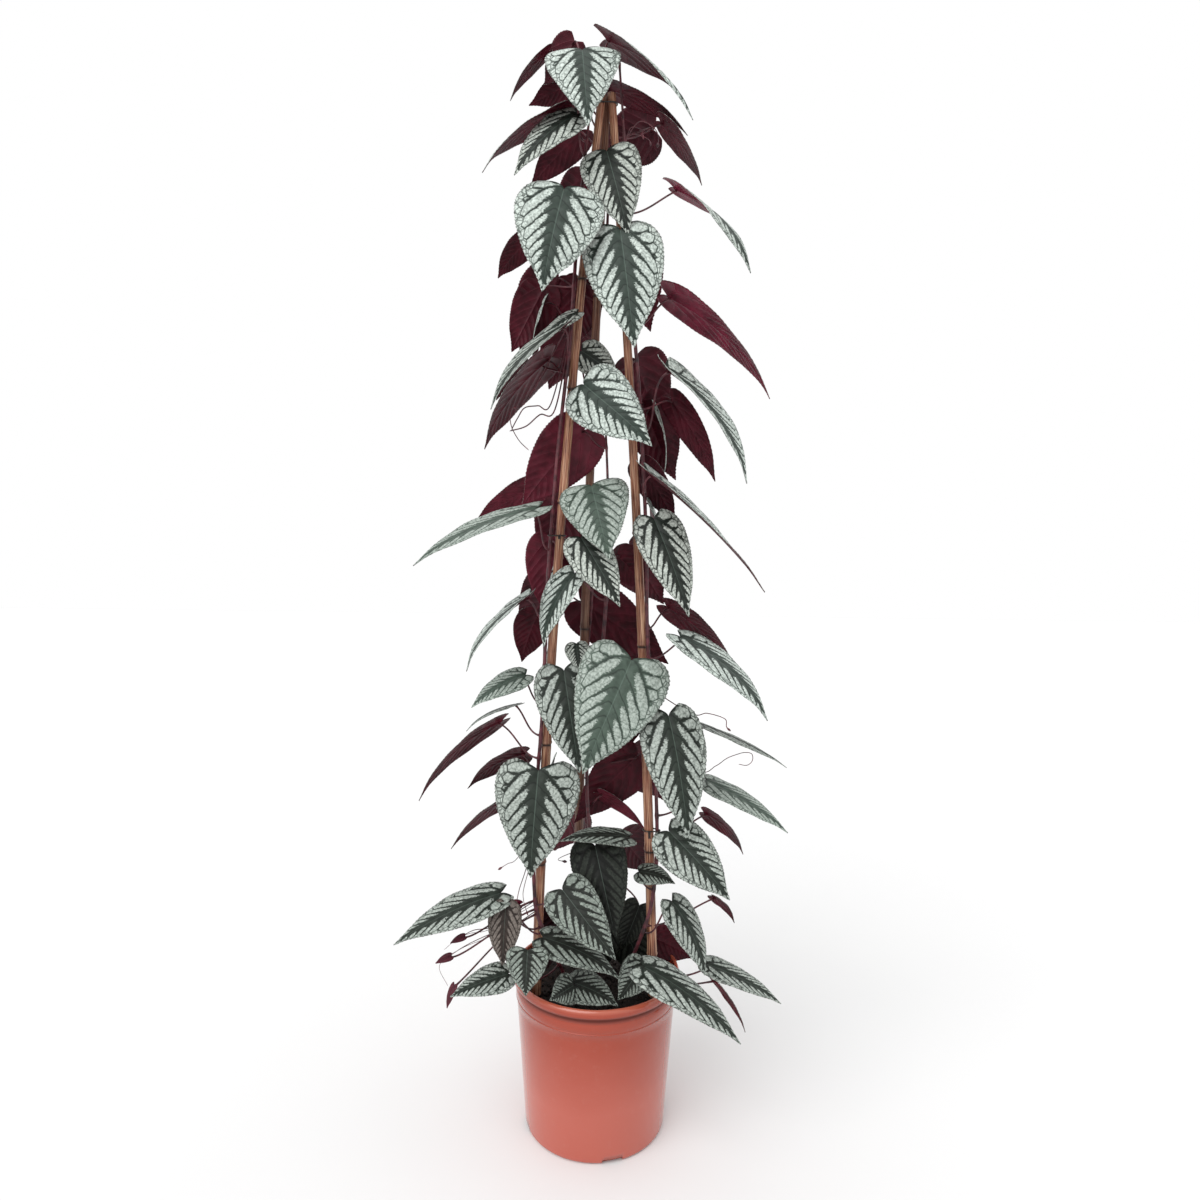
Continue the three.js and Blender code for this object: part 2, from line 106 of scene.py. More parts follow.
def make_piece(name, points, faces, materials, uvs=None, colours=None, kinds=None):
    """A smooth mesh object from points in mm and quads, with seams and poles welded.
    uvs holds a pair of numbers for each point, colours a colour, and kinds each face's material number."""
    mesh = bpy.data.meshes.new(name)
    mesh.from_pydata((np.asarray(points) / 1000).tolist(), [], np.asarray(faces).tolist())
    for layer, values in (uvs or {}).items():
        at_corners = np.asarray(values, float)[faces.ravel()]
        mesh.uv_layers.new(name=layer).data.foreach_set("uv", at_corners.ravel())
    for layer, values in (colours or {}).items():
        spread = np.broadcast_to(np.asarray(values, float), (len(points), 4))
        mesh.color_attributes.new(layer, "FLOAT_COLOR", "POINT").data.foreach_set("color", spread.ravel())
    for material in materials:
        mesh.materials.append(material)
    if kinds is not None:
        mesh.polygons.foreach_set("material_index", np.asarray(kinds, np.int32))
    mesh.polygons.foreach_set("use_smooth", np.ones(len(mesh.polygons), bool))
    welded = bmesh.new()
    welded.from_mesh(mesh)
    bmesh.ops.remove_doubles(welded, verts=welded.verts, dist=1e-6)
    welded.to_mesh(mesh)
    welded.free()
    made = bpy.data.objects.new(name, mesh)
    bpy.context.collection.objects.link(made)
    return made


def fill_inputs(node, inputs):
    """Fills a node's inputs, given by name or in their own order: a socket is joined and a value is set."""
    for socket, value in inputs.items() if isinstance(inputs, dict) else enumerate(inputs):
        if isinstance(value, bpy.types.NodeSocket):
            node.id_data.links.new(value, node.inputs[socket])
        else:
            node.inputs[socket].default_value = value


def add_node(material, kind, inputs=None, output=0, **settings):
    """Adds a node with its settings and links, and returns one of its outputs."""
    made = material.node_tree.nodes.new("ShaderNode" + kind)
    for key, value in settings.items():
        setattr(made, key, value)
    fill_inputs(made, inputs or {})
    return made.outputs[output]


def new_material(name, **settings):
    """A named material with its shader's plain settings, the shader, and add_node for this material."""
    material = bpy.data.materials.new(name)
    material.use_nodes = True
    shader = material.node_tree.nodes["Principled BSDF"]
    fill_inputs(shader, {socket.replace("_", " "): value for socket, value in settings.items()})
    return material, shader, partial(add_node, material)


def arc(centre_r, centre_z, radius_r, radius_z, start, end, count):
    """Profile points on a part of an ellipse: centre + (radius_r cos a, radius_z sin a), a in degrees."""
    a = np.radians(np.linspace(start, end, count))
    return np.stack([centre_r + radius_r * np.cos(a), centre_z + radius_z * np.sin(a)], -1)


def turned(profile, sides):
    """A profile of (r, z) turned about Z: (r sin a, -r cos a, z), as rows of rings with a doubled seam."""
    a = np.linspace(0, 2 * math.pi, sides + 1)
    r, z = np.asarray(profile, float)[:, :1], np.asarray(profile, float)[:, 1:]
    return np.stack([r * np.sin(a), -r * np.cos(a), z + 0 * a], -1)


def pot_inside_r(z):
    """Inside radius of the pot's wall: a straight taper from its heel to its collar."""
    share = (np.minimum(z, COLLAR_BOTTOM) - INSIDE_HEEL_Z) / (COLLAR_BOTTOM - INSIDE_HEEL_Z)
    return POT_BASE_R + (COLLAR_R - COLLAR_TAPER - POT_BASE_R) * share - POT_WALL


def pot_outside_r(z):
    """Outside radius of the pot's wall: a straight taper from its heel to its stacking step."""
    return POT_BASE_R + (WALL_TOP[0] - POT_BASE_R) * (z - HEEL_R) / (WALL_TOP[1] - HEEL_R)


def smooth(t):
    """3 t^2 - 2 t^3, held between 0 and 1."""
    t = np.clip(t, 0, 1)
    return t * t * (3 - 2 * t)


WALL_TOP = (COLLAR_R - COLLAR_STEP, COLLAR_BOTTOM - 2)
floor_r = POT_BASE_R - HEEL_R - 1
inside_heel = (pot_inside_r(INSIDE_HEEL_Z) - (INSIDE_HEEL_Z - DRAIN_TOP), DRAIN_TOP)
lip_z = POT_HEIGHT - LIP_HEIGHT / 2
groove_z = POT_HEIGHT - LIP_HEIGHT - GROOVE_HALF
groove = np.linspace(groove_z - 2 * GROOVE_HALF, groove_z + GROOVE_HALF - 0.5, 12)
groove_depth = GROOVE_DEPTH * smooth(1 - np.abs(groove - groove_z) / (1.6 * GROOVE_HALF))
profile = np.concatenate([
    [(0, 0), (FOOT_RING_R - 2, 0), (FOOT_RING_R - 1, FOOT_RING_DEPTH)],
    [(FOOT_RING_R + 1, FOOT_RING_DEPTH), (FOOT_RING_R + 2, 0), (FOOT_RING_R + 12, 0), (floor_r, 0)],
    arc(POT_BASE_R - HEEL_R, HEEL_R, HEEL_R, HEEL_R, -90, -12, DRAIN_ROWS - 2),
    [(pot_outside_r(DRAIN_TOP), DRAIN_TOP)],
    np.linspace((pot_outside_r(2 * DRAIN_TOP), 2 * DRAIN_TOP), WALL_TOP, 16),
    arc(WALL_TOP[0], COLLAR_BOTTOM - 0.4, COLLAR_ROLL, COLLAR_ROLL - 0.1, -70, 60, 6),
    [(COLLAR_R - COLLAR_TAPER, COLLAR_BOTTOM + COLLAR_STEP)],
    np.stack([COLLAR_R - 0.2 - groove_depth, groove], -1),
    arc(POT_LIP_R - LIP_ROLL, lip_z, LIP_ROLL, LIP_HEIGHT / 2, -80, 90, 14),
    arc(POT_LIP_R - LIP_ROLL, POT_HEIGHT - LIP_INSIDE_ROLL, LIP_INSIDE_ROLL, LIP_INSIDE_ROLL, 105, 180, 5),
    [(COLLAR_R - POT_WALL, POT_HEIGHT - LIP_HEIGHT), (pot_inside_r(COLLAR_BOTTOM), COLLAR_BOTTOM)],
    np.linspace((pot_inside_r(150), 150), (pot_inside_r(16), 16), 6),
    np.linspace(inside_heel, (floor_r, POT_FLOOR), DRAIN_ROWS),
    [(40, POT_FLOOR), (0, POT_FLOOR)],
])
pot_rings = turned(profile, POT_SIDES)
ring_points = POT_SIDES + 1
pot_faces = grid_faces(len(profile), ring_points)
outer_first = int(np.flatnonzero((profile[:, 0] == floor_r) & (profile[:, 1] == 0))[0])
inner_first = int(np.flatnonzero((profile[:, 0] == floor_r) & (profile[:, 1] == POT_FLOOR))[0])
outer_rows = outer_first + np.arange(DRAIN_ROWS)
inner_rows = inner_first - np.arange(DRAIN_ROWS)
kept = np.ones((len(profile) - 1, POT_SIDES), bool)
# the four faces of each notch: its foot, its top and both sides
slot_faces = []
whole = slice(None)
for k in range(DRAIN_COUNT):
    first = round(POT_SIDES * (DRAIN_AZIMUTH / 360 + k / DRAIN_COUNT)) - DRAIN_SIDES // 2
    across = (first + np.arange(DRAIN_SIDES + 1)) % POT_SIDES
    kept[outer_rows[0]:outer_rows[-1], across[:-1]] = False
    kept[inner_rows[-1]:inner_rows[0], across[:-1]] = False
    for row, column, order in ((0, whole, 1), (-1, whole, -1), (whole, 0, -1), (whole, -1, 1)):
        outer = outer_rows[row] * ring_points + across[column]
        inner = inner_rows[row] * ring_points + across[column]
        slot_faces.append(np.stack([outer[:-1], outer[1:], inner[1:], inner[:-1]], -1)[:, ::order])
pot_faces = np.concatenate([pot_faces[kept.ravel()], *slot_faces])

# Glossy moulded polypropylene under a clear surface: orange-brown with uneven tone and faint dust, darker at
# the top with painted shade and paler towards the foot with painted light from the floor. The groove under
# the lip is matt and darkened with painted shade, and the top of the lip has a painted highlight.
pot_plastic, shader, add = new_material("moulded_terracotta_polypropylene", Coat_Roughness=0.15)
here = add("TexCoord", output="Object")
level = add("SeparateXYZ", [here], "Z")
patches = add("TexNoise", {"Vector": here, "Scale": 14.0, "Detail": 4.0})
# the pot is painted darker at the top and paler towards the foot: painted shade above and painted light from
# the floor below
painted_light_towards_foot = add("MapRange", [level, 0.15, 0.06])
uneven = add("MapRange", [patches, 0.0, 1.0, -0.2, 0.2])
painted_light_and_uneven = add("Math", [painted_light_towards_foot, uneven], operation="ADD", use_clamp=True)
dust = add("TexNoise", {"Vector": here, "Scale": 90.0, "Detail": 6.0, "Roughness": 0.7})
dust_seen = add("MapRange", [dust, 0.56, 0.74, 0.0, 0.1])
# a band just under the lip is painted darker: painted shade in the groove, which is also made matt and left
# without coat
above_groove = add("Math", [level, 0.1865], operation="SUBTRACT")
off_groove = add("Math", [above_groove], operation="ABSOLUTE")
under_lip_painted_shade = add("MapRange", [off_groove, 0.006, 0.002])
under_lip_painted_shade_share = add("Math", [under_lip_painted_shade, 0.85], operation="MULTIPLY")
# the top of the lip is painted paler: a painted highlight
lip_painted_highlight = add("MapRange", [level, 0.195, 0.1985, 0.0, 0.6])
surface = linear("#99351B")
for share, colour in (
    (painted_light_and_uneven, "#B15646"), (dust_seen, "#B07A6C"), (under_lip_painted_shade_share, "#4A160C"), (lip_painted_highlight, "#BC6A54"),
):
    layer = {"Factor": share, "A": surface, "B": linear(colour)}
    surface = add("Mix", layer, "Result", data_type="RGBA")
gloss = add("MapRange", [dust, 0.0, 1.0, 0.1, 0.24])
dulled = add("Math", [under_lip_painted_shade, 0.6, gloss], operation="MULTIPLY_ADD")
coat = add("MapRange", [under_lip_painted_shade, 0.0, 1.0, 0.4, 0.0])
ripple = add("TexNoise", {"Vector": here, "Scale": 160.0, "Detail": 2.0})
rippled = add("Bump", {"Height": ripple, "Strength": 0.04, "Distance": 0.001})
fill_inputs(shader, {"Base Color": surface, "Roughness": dulled, "Coat Weight": coat, "Normal": rippled})

pot = make_piece("pot_shell", pot_rings.reshape(-1, 3), pot_faces, [pot_plastic])
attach(pot, "root")
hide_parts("pot")

# Potting mix: dark peat with composted bark, filled to about 20 mm below the lip and heaped a little at the
# middle. It has a lumpy top with loose crumbs on it, and below that it follows the pot's inside.
MIX_EDGE_Z = 176
MIX_TOP_Z = 183
MIX_MIDDLE_Z = 90
MIX_SIDES = 180
MIX_RINGS = 46
MIX_CLEARANCE = 0.5
LUMP_COUNT = 420
LUMP_REACH = 98
LUMP_SIZES = (2.5, 7)
LUMP_RISES = (-1.4, 1.9)
LUMP_LIMITS = (-2.2, 2.4)
CRUMB_COUNT = 620
CRUMB_REACH = 95
CRUMB_SIZES = (0.7, 2.3)
CRUMB_STRETCH = (0.6, 1.5)
CRUMB_SITS = 0.35
CRUMB_KNOB = 0.25
CRUMB_RINGS = 5
CRUMB_SIDES = 6
rng = np.random.default_rng(7)
lump_at = rng.uniform(-LUMP_REACH, LUMP_REACH, (LUMP_COUNT, 2))
lump_size = rng.uniform(*LUMP_SIZES, LUMP_COUNT)
lump_rise = rng.uniform(*LUMP_RISES, LUMP_COUNT)


def mix_height(x, y):
    """Height of the mix: a low dome, MIX_TOP_Z less a share of r^2, plus rounded lumps exp(-(d / size)^2)."""
    r2 = (x ** 2 + y ** 2) / pot_inside_r(MIX_EDGE_Z) ** 2
    d2 = (x[..., None] - lump_at[:, 0]) ** 2 + (y[..., None] - lump_at[:, 1]) ** 2
    lumps = (lump_rise * np.exp(-d2 / lump_size ** 2)).sum(-1)
    return MIX_TOP_Z - 1.5 - (MIX_TOP_Z - MIX_EDGE_Z - 1) * r2 + np.clip(lumps, *LUMP_LIMITS)


mix_r = np.linspace(0, pot_inside_r(MIX_EDGE_Z) - MIX_CLEARANCE, MIX_RINGS)[::-1]
top = turned(np.stack([mix_r, 0 * mix_r], -1), MIX_SIDES)
top[..., 2] = mix_height(top[..., 0], top[..., 1])
below = turned([
    (0, POT_FLOOR + MIX_CLEARANCE), (POT_BASE_R - HEEL_R - 2, POT_FLOOR + MIX_CLEARANCE),
    (pot_inside_r(INSIDE_HEEL_Z) - MIX_CLEARANCE, INSIDE_HEEL_Z + 1),
    (pot_inside_r(MIX_MIDDLE_Z) - MIX_CLEARANCE, MIX_MIDDLE_Z),
], MIX_SIDES)
mix_points = np.concatenate([below, top]).reshape(-1, 3)
mix_faces = grid_faces(len(below) + len(top), MIX_SIDES + 1)

turn = rng.uniform(0, 2 * math.pi, CRUMB_COUNT)
crumb_r = CRUMB_REACH * np.sqrt(rng.uniform(0, 1, CRUMB_COUNT))
crumb_x, crumb_y = crumb_r * np.cos(turn), crumb_r * np.sin(turn)
crumb_size = rng.uniform(*CRUMB_SIZES, CRUMB_COUNT)
crumb_z = mix_height(crumb_x, crumb_y) + CRUMB_SITS * crumb_size
polar = np.radians(np.linspace(-90, 90, CRUMB_RINGS))[:, None]
around = np.linspace(0, 2 * math.pi, CRUMB_SIDES + 1)
ball = np.stack([
    np.cos(polar) * np.cos(around), np.cos(polar) * np.sin(around), np.sin(polar) + 0 * around,
], -1)
stretch = rng.uniform(*CRUMB_STRETCH, (CRUMB_COUNT, 1, 1, 3)) * crumb_size[:, None, None, None]
knobs = np.sin(3 * ball[..., 0] + turn[:, None, None] * 5) * np.cos(4 * ball[..., 1])
knobs = 1 + CRUMB_KNOB * knobs
crumbs = ball * stretch * knobs[..., None] + np.stack([crumb_x, crumb_y, crumb_z], -1)[:, None, None]
one_crumb = grid_faces(CRUMB_RINGS, CRUMB_SIDES + 1)
crumb_starts = CRUMB_RINGS * (CRUMB_SIDES + 1) * np.arange(CRUMB_COUNT)[:, None, None]
crumb_faces = (one_crumb[None] + crumb_starts).reshape(-1, 4)

# Damp peat and bark: nearly black brown and matt, in bits of 2 to 3 mm with a finer grain on them.
peat, shader, add = new_material("damp_peat_and_bark", Roughness=0.95)
here = add("TexCoord", output="Object")
bits = add("TexVoronoi", {"Vector": here, "Scale": 420.0}, "Color")
grains = add("ValToRGB", {"Fac": bits})
browns = grains.node.color_ramp.elements
browns[0].color = linear("#120D0B")
browns[1].color = linear("#3A2A22")
browns.new(0.55).color = linear("#1E1613")
fine = add("TexNoise", {"Vector": here, "Scale": 900.0, "Detail": 4.0})
grained = add("Bump", {"Height": fine, "Strength": 0.8, "Distance": 0.001})
fill_inputs(shader, {"Base Color": grains, "Normal": grained})

mix = make_piece("potting_mix_body", mix_points, mix_faces, [peat])
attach(mix, "root")
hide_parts("potting_mix")
mix_crumbs = make_piece("potting_mix_crumbs", crumbs.reshape(-1, 3), crumb_faces, [peat])
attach(mix_crumbs, "root")

# Canes: three dry bamboo canes, 12 mm thick at the foot and 9 mm at the top, pushed into the mix.
# Each has a raised ring with a sheath scar under it every 130 mm or so, a shallow groove above each ring
# and a bud scar beside it, on one side and then on the other.
CANE_FOOT_Z = 70
CANE_TOP_Z = 1250
CANE_R_FOOT = 6.2
CANE_R_TOP = 4.6
CANE_SIDES = 28
CANE_ROWS = 200
CANES = {
    "left": dict(
        foot=(-75, -34), top=(-5.5, -3.2), bow=(-14, 0), darker=0,
        nodes=(210, 345, 492, 640, 782, 915, 1042, 1160),
    ),
    "right": dict(
        foot=(74, -34), top=(5.5, -3.2), bow=(8, 0), darker=0,
        nodes=(232, 362, 505, 612, 745, 880, 1010, 1135),
    ),
    # the back cane's darker share is painted shade
    "back": dict(
        foot=(-28, 75), top=(0, 6.3), bow=(-5, 0), darker=0.6,
        nodes=(190, 330, 478, 625, 770, 905, 1030, 1150),
    ),
}
NODE_REACH = 9
NODE_RISE = 0.7
NODE_SWELL = 0.3
SCAR_DEPTH = 0.35
SCAR_BELOW = 3
CANE_GROOVE_DEPTH = 0.55
CANE_GROOVE_LENGTH = 40
BUD_RISE = 1.1
BUD_ABOVE = 3
BUD_AZIMUTH = 0.7


def cane_centre(name, z):
    """Centre of a cane: the straight line from foot to top, plus its bow times 4 t (1 - t)."""
    cane = CANES[name]
    t = ((np.asarray(z, float) - CANE_FOOT_Z) / (CANE_TOP_Z - CANE_FOOT_Z))[..., None]
    foot, top_end, bow = (np.array(cane[key], float) for key in ("foot", "top", "bow"))
    return foot + (top_end - foot) * t + bow * 4 * t * (1 - t)


def cane_radius(z):
    """Radius of a cane: a straight taper from its foot to its top."""
    return CANE_R_FOOT + (CANE_R_TOP - CANE_R_FOOT) * (z - CANE_FOOT_Z) / (CANE_TOP_Z - CANE_FOOT_Z)


def hump(distance, reach):
    """exp(-(distance / reach)^2): 1 in the middle, and 0.37 at the reach."""
    return np.exp(-(distance / reach) ** 2)


# Dry bamboo: a hard waxy skin of warm tan with long fibres about 1 mm wide, browner at the rings and mottled
# with age. The cane at the back is darker with painted shade.
bamboo, shader, add = new_material("dry_bamboo", Roughness=0.5)
along_cane = add("UVMap", uv_map="skin")
stretched = add("Mapping", {"Vector": along_cane, "Scale": (0.9, 0.018, 1)})
fibres = add("TexNoise", {"Vector": stretched, "Scale": 1.0, "Detail": 5.0})
skin = add("ValToRGB", {"Fac": fibres})
tans = skin.node.color_ramp.elements
tans[0].position = 0.36
tans[0].color = linear("#4A2318")
tans[1].position = 0.62
tans[1].color = linear("#C9A283")
tans.new(0.5).color = linear("#9A6248")
mottle = add("TexNoise", {"Vector": along_cane, "Scale": 0.06, "Detail": 3.0})
mottled = add("MapRange", [mottle, 0.5, 0.75, 0.0, 0.45])
marks = add("VertexColor", layer_name="marks")
# the green number of the marks darkens the back cane: painted shade
back_cane_painted_shade = add("SeparateColor", [marks], "Green")
ringed = back_cane_painted_shade.node.outputs["Red"]
surface = skin
for share, colour in ((mottled, "#4A241B"), (back_cane_painted_shade, "#381B15"), (ringed, "#2A1712")):
    layer = {"Factor": share, "A": surface, "B": linear(colour)}
    surface = add("Mix", layer, "Result", data_type="RGBA")
fibred = add("Bump", {"Height": fibres, "Strength": 0.25, "Distance": 0.0006})
fill_inputs(shader, {"Base Color": surface, "Normal": fibred})

for name, cane in CANES.items():
    near_rings = [node + np.linspace(-NODE_REACH, NODE_REACH, 2 * NODE_REACH + 1) for node in cane["nodes"]]
    z = np.unique(np.concatenate([np.linspace(CANE_FOOT_Z, CANE_TOP_Z, CANE_ROWS), *near_rings]))
    a = np.linspace(0, 2 * math.pi, CANE_SIDES + 1)
    radius = cane_radius(z)[:, None] + 0 * a
    ring = 0 * z
    for k, node in enumerate(cane["nodes"]):
        rise = z - node
        off_bud = np.abs((a - BUD_AZIMUTH - math.pi * k + math.pi) % (2 * math.pi) - math.pi)
        groove = np.where(rise > 0, np.exp(-rise / CANE_GROOVE_LENGTH) * (1 - np.exp(-rise / 3)), 0)
        radius = radius + (NODE_RISE * hump(rise, 1.3) + NODE_SWELL * hump(rise, NODE_REACH))[:, None]
        radius = radius - (SCAR_DEPTH * hump(rise + SCAR_BELOW, 1.1))[:, None]
        radius = radius - CANE_GROOVE_DEPTH * groove[:, None] * hump(off_bud, 0.55)
        radius = radius + BUD_RISE * hump(rise - BUD_ABOVE, 2.6)[:, None] * hump(off_bud, 0.35)
        ring = ring + 0.85 * hump(rise + 2.6, 1.5) + 0.3 * hump(rise, 7)
    rows = np.concatenate([[0], np.arange(len(z)), [len(z) - 1]])
    radius = radius[rows]
    radius[[0, -1]] = 0
    z, ring = z[rows], ring[rows]
    centre = cane_centre(name, z)
    points = np.stack([
        centre[:, :1] + radius * np.cos(a), centre[:, 1:] + radius * np.sin(a), z[:, None] + 0 * a,
    ], -1)
    skin_uv = np.stack([CANE_R_FOOT * a + 0 * z[:, None], z[:, None] + 0 * a], -1)
    marks_here = np.stack([np.clip(ring, 0, 1), 0 * ring + cane["darker"], 0 * ring, 0 * ring + 1], -1)
    made = make_piece(
        f"bamboo_{name}", points.reshape(-1, 3), grid_faces(len(z), len(a)), [bamboo],
        uvs={"skin": skin_uv.reshape(-1, 2)}, colours={"marks": np.repeat(marks_here, len(a), 0)},
    )
    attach(made, "root")
    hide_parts(f"cane_{name}")

# Shoots: the vine's four climbing stems, dark wine red and a little over 4 mm thick.
# Three wind beside a cane each and one climbs between them; each swells where a leaf's stalk leaves it.
STEM_R = 2.2
STEM_ROOT_Z = 120
STEM_OFFSET_FOOT = 9.8
STEM_OFFSET_TOP = 11.4
STEM_MEETS_CANE_Z = 300
STEM_SETTLES_Z = 440
SWAY_PITCH = 430
SHOOTS = {
    "left": dict(root=(-24, -12), side=205, swing=150, sway=25, phase=0, top=1272),
    "right": dict(root=(22, -14), side=-28, swing=-150, sway=25, phase=2, top=1290),
    "back": dict(root=(6, 26), side=75, swing=-110, sway=30, phase=1, top=1236),
}
MIDDLE_SHOOT = np.array([
    (2, -16, 120), (3, -20, 200), (-6, -24, 330), (-14, -16, 470), (4, -6, 620), (8, -10, 760), (2, -2, 900),
], float)
MIDDLE_STEPS = 40


def through(points, count):
    """Points of a Catmull-Rom curve through the given ones, count steps between each two."""
    padded = np.concatenate([[2 * points[0] - points[1]], points, [2 * points[-1] - points[-2]]])
    p0, p1, p2, p3 = (padded[k:len(padded) - 3 + k, None] for k in range(4))
    t = np.linspace(0, 1, count, endpoint=False)[None, :, None]
    curve = p1 + (p2 - p0) * t / 2 + (2 * p0 - 5 * p1 + 4 * p2 - p3) * t ** 2 / 2
    curve = curve + (3 * p1 - p0 - 3 * p2 + p3) * t ** 3 / 2
    return np.concatenate([curve.reshape(-1, points.shape[1]), points[-1:]])


def shoot_route(name, z):
    """Centre line of a shoot at heights z: from its root it swings to its side of the cane, joins it, and
    winds up beside it with a sway of sin(2 pi z / pitch + phase). The middle one runs through its places."""
    z = np.asarray(z, float)
    if name == "middle":
        levels = through(MIDDLE_SHOOT, MIDDLE_STEPS)
        return np.stack([np.interp(z, levels[:, 2], levels[:, k]) for k in (0, 1)] + [z], -1)
    stem = SHOOTS[name]
    settled = smooth((z - STEM_ROOT_Z) / (STEM_SETTLES_Z - STEM_ROOT_Z))
    sway = stem["sway"] * np.sin(2 * math.pi * z / SWAY_PITCH + stem["phase"])
    angle = np.radians(stem["side"] + stem["swing"] * (1 - settled) + sway)
    offset = STEM_OFFSET_FOOT + (STEM_OFFSET_TOP - STEM_OFFSET_FOOT) * z / CANE_TOP_Z
    joined = smooth((z - STEM_ROOT_Z) / (STEM_MEETS_CANE_Z - STEM_ROOT_Z))[..., None]
    beside = cane_centre(name, z) + offset[..., None] * np.stack([np.cos(angle), np.sin(angle)], -1)
    place = np.array(stem["root"], float) * (1 - joined) + beside * joined
    return np.concatenate([place, z[..., None]], -1)


def unit(v):
    """A vector, or each of several, at length 1."""
    return v / np.linalg.norm(v, axis=-1, keepdims=True)


def tube(path, radii, sides, beside=(0, 0, 1)):
    """Rings of the given radii round a path, square to it: path + r (a cos w + b sin w), with
    a = tangent x beside and b = tangent x a. Rings of no radius close the ends, and the seam is doubled."""
    tangent = unit(np.gradient(path, axis=0))
    a = unit(np.cross(tangent, beside))
    b = np.cross(tangent, a)
    w = np.linspace(0, 2 * math.pi, sides + 1)[:, None]
    radii = np.broadcast_to(np.asarray(radii, float), len(path))[:, None, None]
    rings = path[:, None] + radii * (a[:, None] * np.cos(w) + b[:, None] * np.sin(w))
    ends = [np.broadcast_to(path[k], rings[k].shape)[None] for k in (0, -1)]
    return np.concatenate([ends[0], rings, ends[1]])


# Half-woody green stem under a wine-red skin: satin, with fine lengthwise streaks some millimetres long.
stem_skin, shader, add = new_material("wine_red_stem", Roughness=0.42)
here = add("TexCoord", output="Object")
streaks = add("TexNoise", {"Vector": here, "Scale": 120.0, "Detail": 3.0})
wine_reds = add("ValToRGB", {"Fac": streaks})
reds = wine_reds.node.color_ramp.elements
reds[0].position = 0.34
reds[0].color = linear("#2E1218")
reds[1].position = 0.68
reds[1].color = linear("#6A3038")
streaked = add("Bump", {"Height": streaks, "Strength": 0.3, "Distance": 0.0005})
fill_inputs(shader, {"Base Color": wine_reds, "Normal": streaked})

# Leaves: heart-shaped blades, each on its own stalk, quilted between curved side veins and finely toothed.
# Above they are dark green along the veins with silver between them, and beneath they are wine red.
BLADE = 0.9
NOTCH = 0.006
NIP = 0.35
NIP_FROM = 0.7
TIP_HALF = 0.5
LOBE = 0.1
TOOTH = 0.4
ROW_CROWDING = 1.15
STALK_R = 1.15
STALK_BEND = 0.35
STALK_PAST_NOTCH = 3
STALK_UNDER = 0.8
STALK_SUNK = 0.8
STALK_FLARE_REACH = 0.06
STALK_SIDES = 8
STALK_STEPS = 22
LARGE_FROM = 45
LARGE_GRID = (65, 27)
SMALL_GRID = (45, 21)
# sizes on a leaf 80 mm wide, which shrink and grow with it
USUAL_WIDTH = 80
QUILT = 1.4
RIB_SINK = 0.5
RIB_THICKER = 0.5
RIB_HALF = 0.05
WAVE = 1.7
RIPPLE = 0.8
TIP_CURL = 3
TIP_CURL_FROM = 0.75
# side veins up to the tip, those that the lowest pair sends out to the margin, and the green along them
VEINS_AT_BASE = 6
VEINS_CROWDING = 3
VEIN_ADVANCE = 0.45
VEIN_STAGGER = 0.4
BRANCHES = 11
GREEN_HALF = 0.3
GREEN_BESIDE_VEIN = 0.085
GREEN_BESIDE_RIB = 0.4
# colours of the green along the veins, of the silver between them and of the underside, and how much the
# dark green spreads beside each vein
# the dim and night looks are darker copies of the usual colours for leaves low down and deep inside the
# plant: painted shade
LEAF_LOOKS = {
    "usual": ("#343E38", "#BFC9C2", "#48121E", 1.15),
    "ruby": ("#343E38", "#BFC9C2", "#60202E", 1.15),
    "dark": ("#242A25", "#B4BBB3", "#3A0E18", 1.5),
    "mint": ("#445148", "#A0AAA2", "#44101C", 1.0),
    "dull": ("#272E28", "#A3ABA4", "#3A0E18", 1.5),
    "dim": ("#20241F", "#868F87", "#300C14", 2.0),
    "night": ("#0E110D", "#2C312B", "#240A10", 1.6),
    "crimson": ("#343E38", "#B8C1BA", "#6A1A30", 1.15),
    "young": ("#2E2622", "#6E6660", "#5A1426", 1.2),
    "bud": ("#4A1A26", "#5A2A34", "#5A1426", 1.0),
}
USUAL_SHOULDER = 0.33
FIRST_SEED = 100
PATTERN_STEP = 211
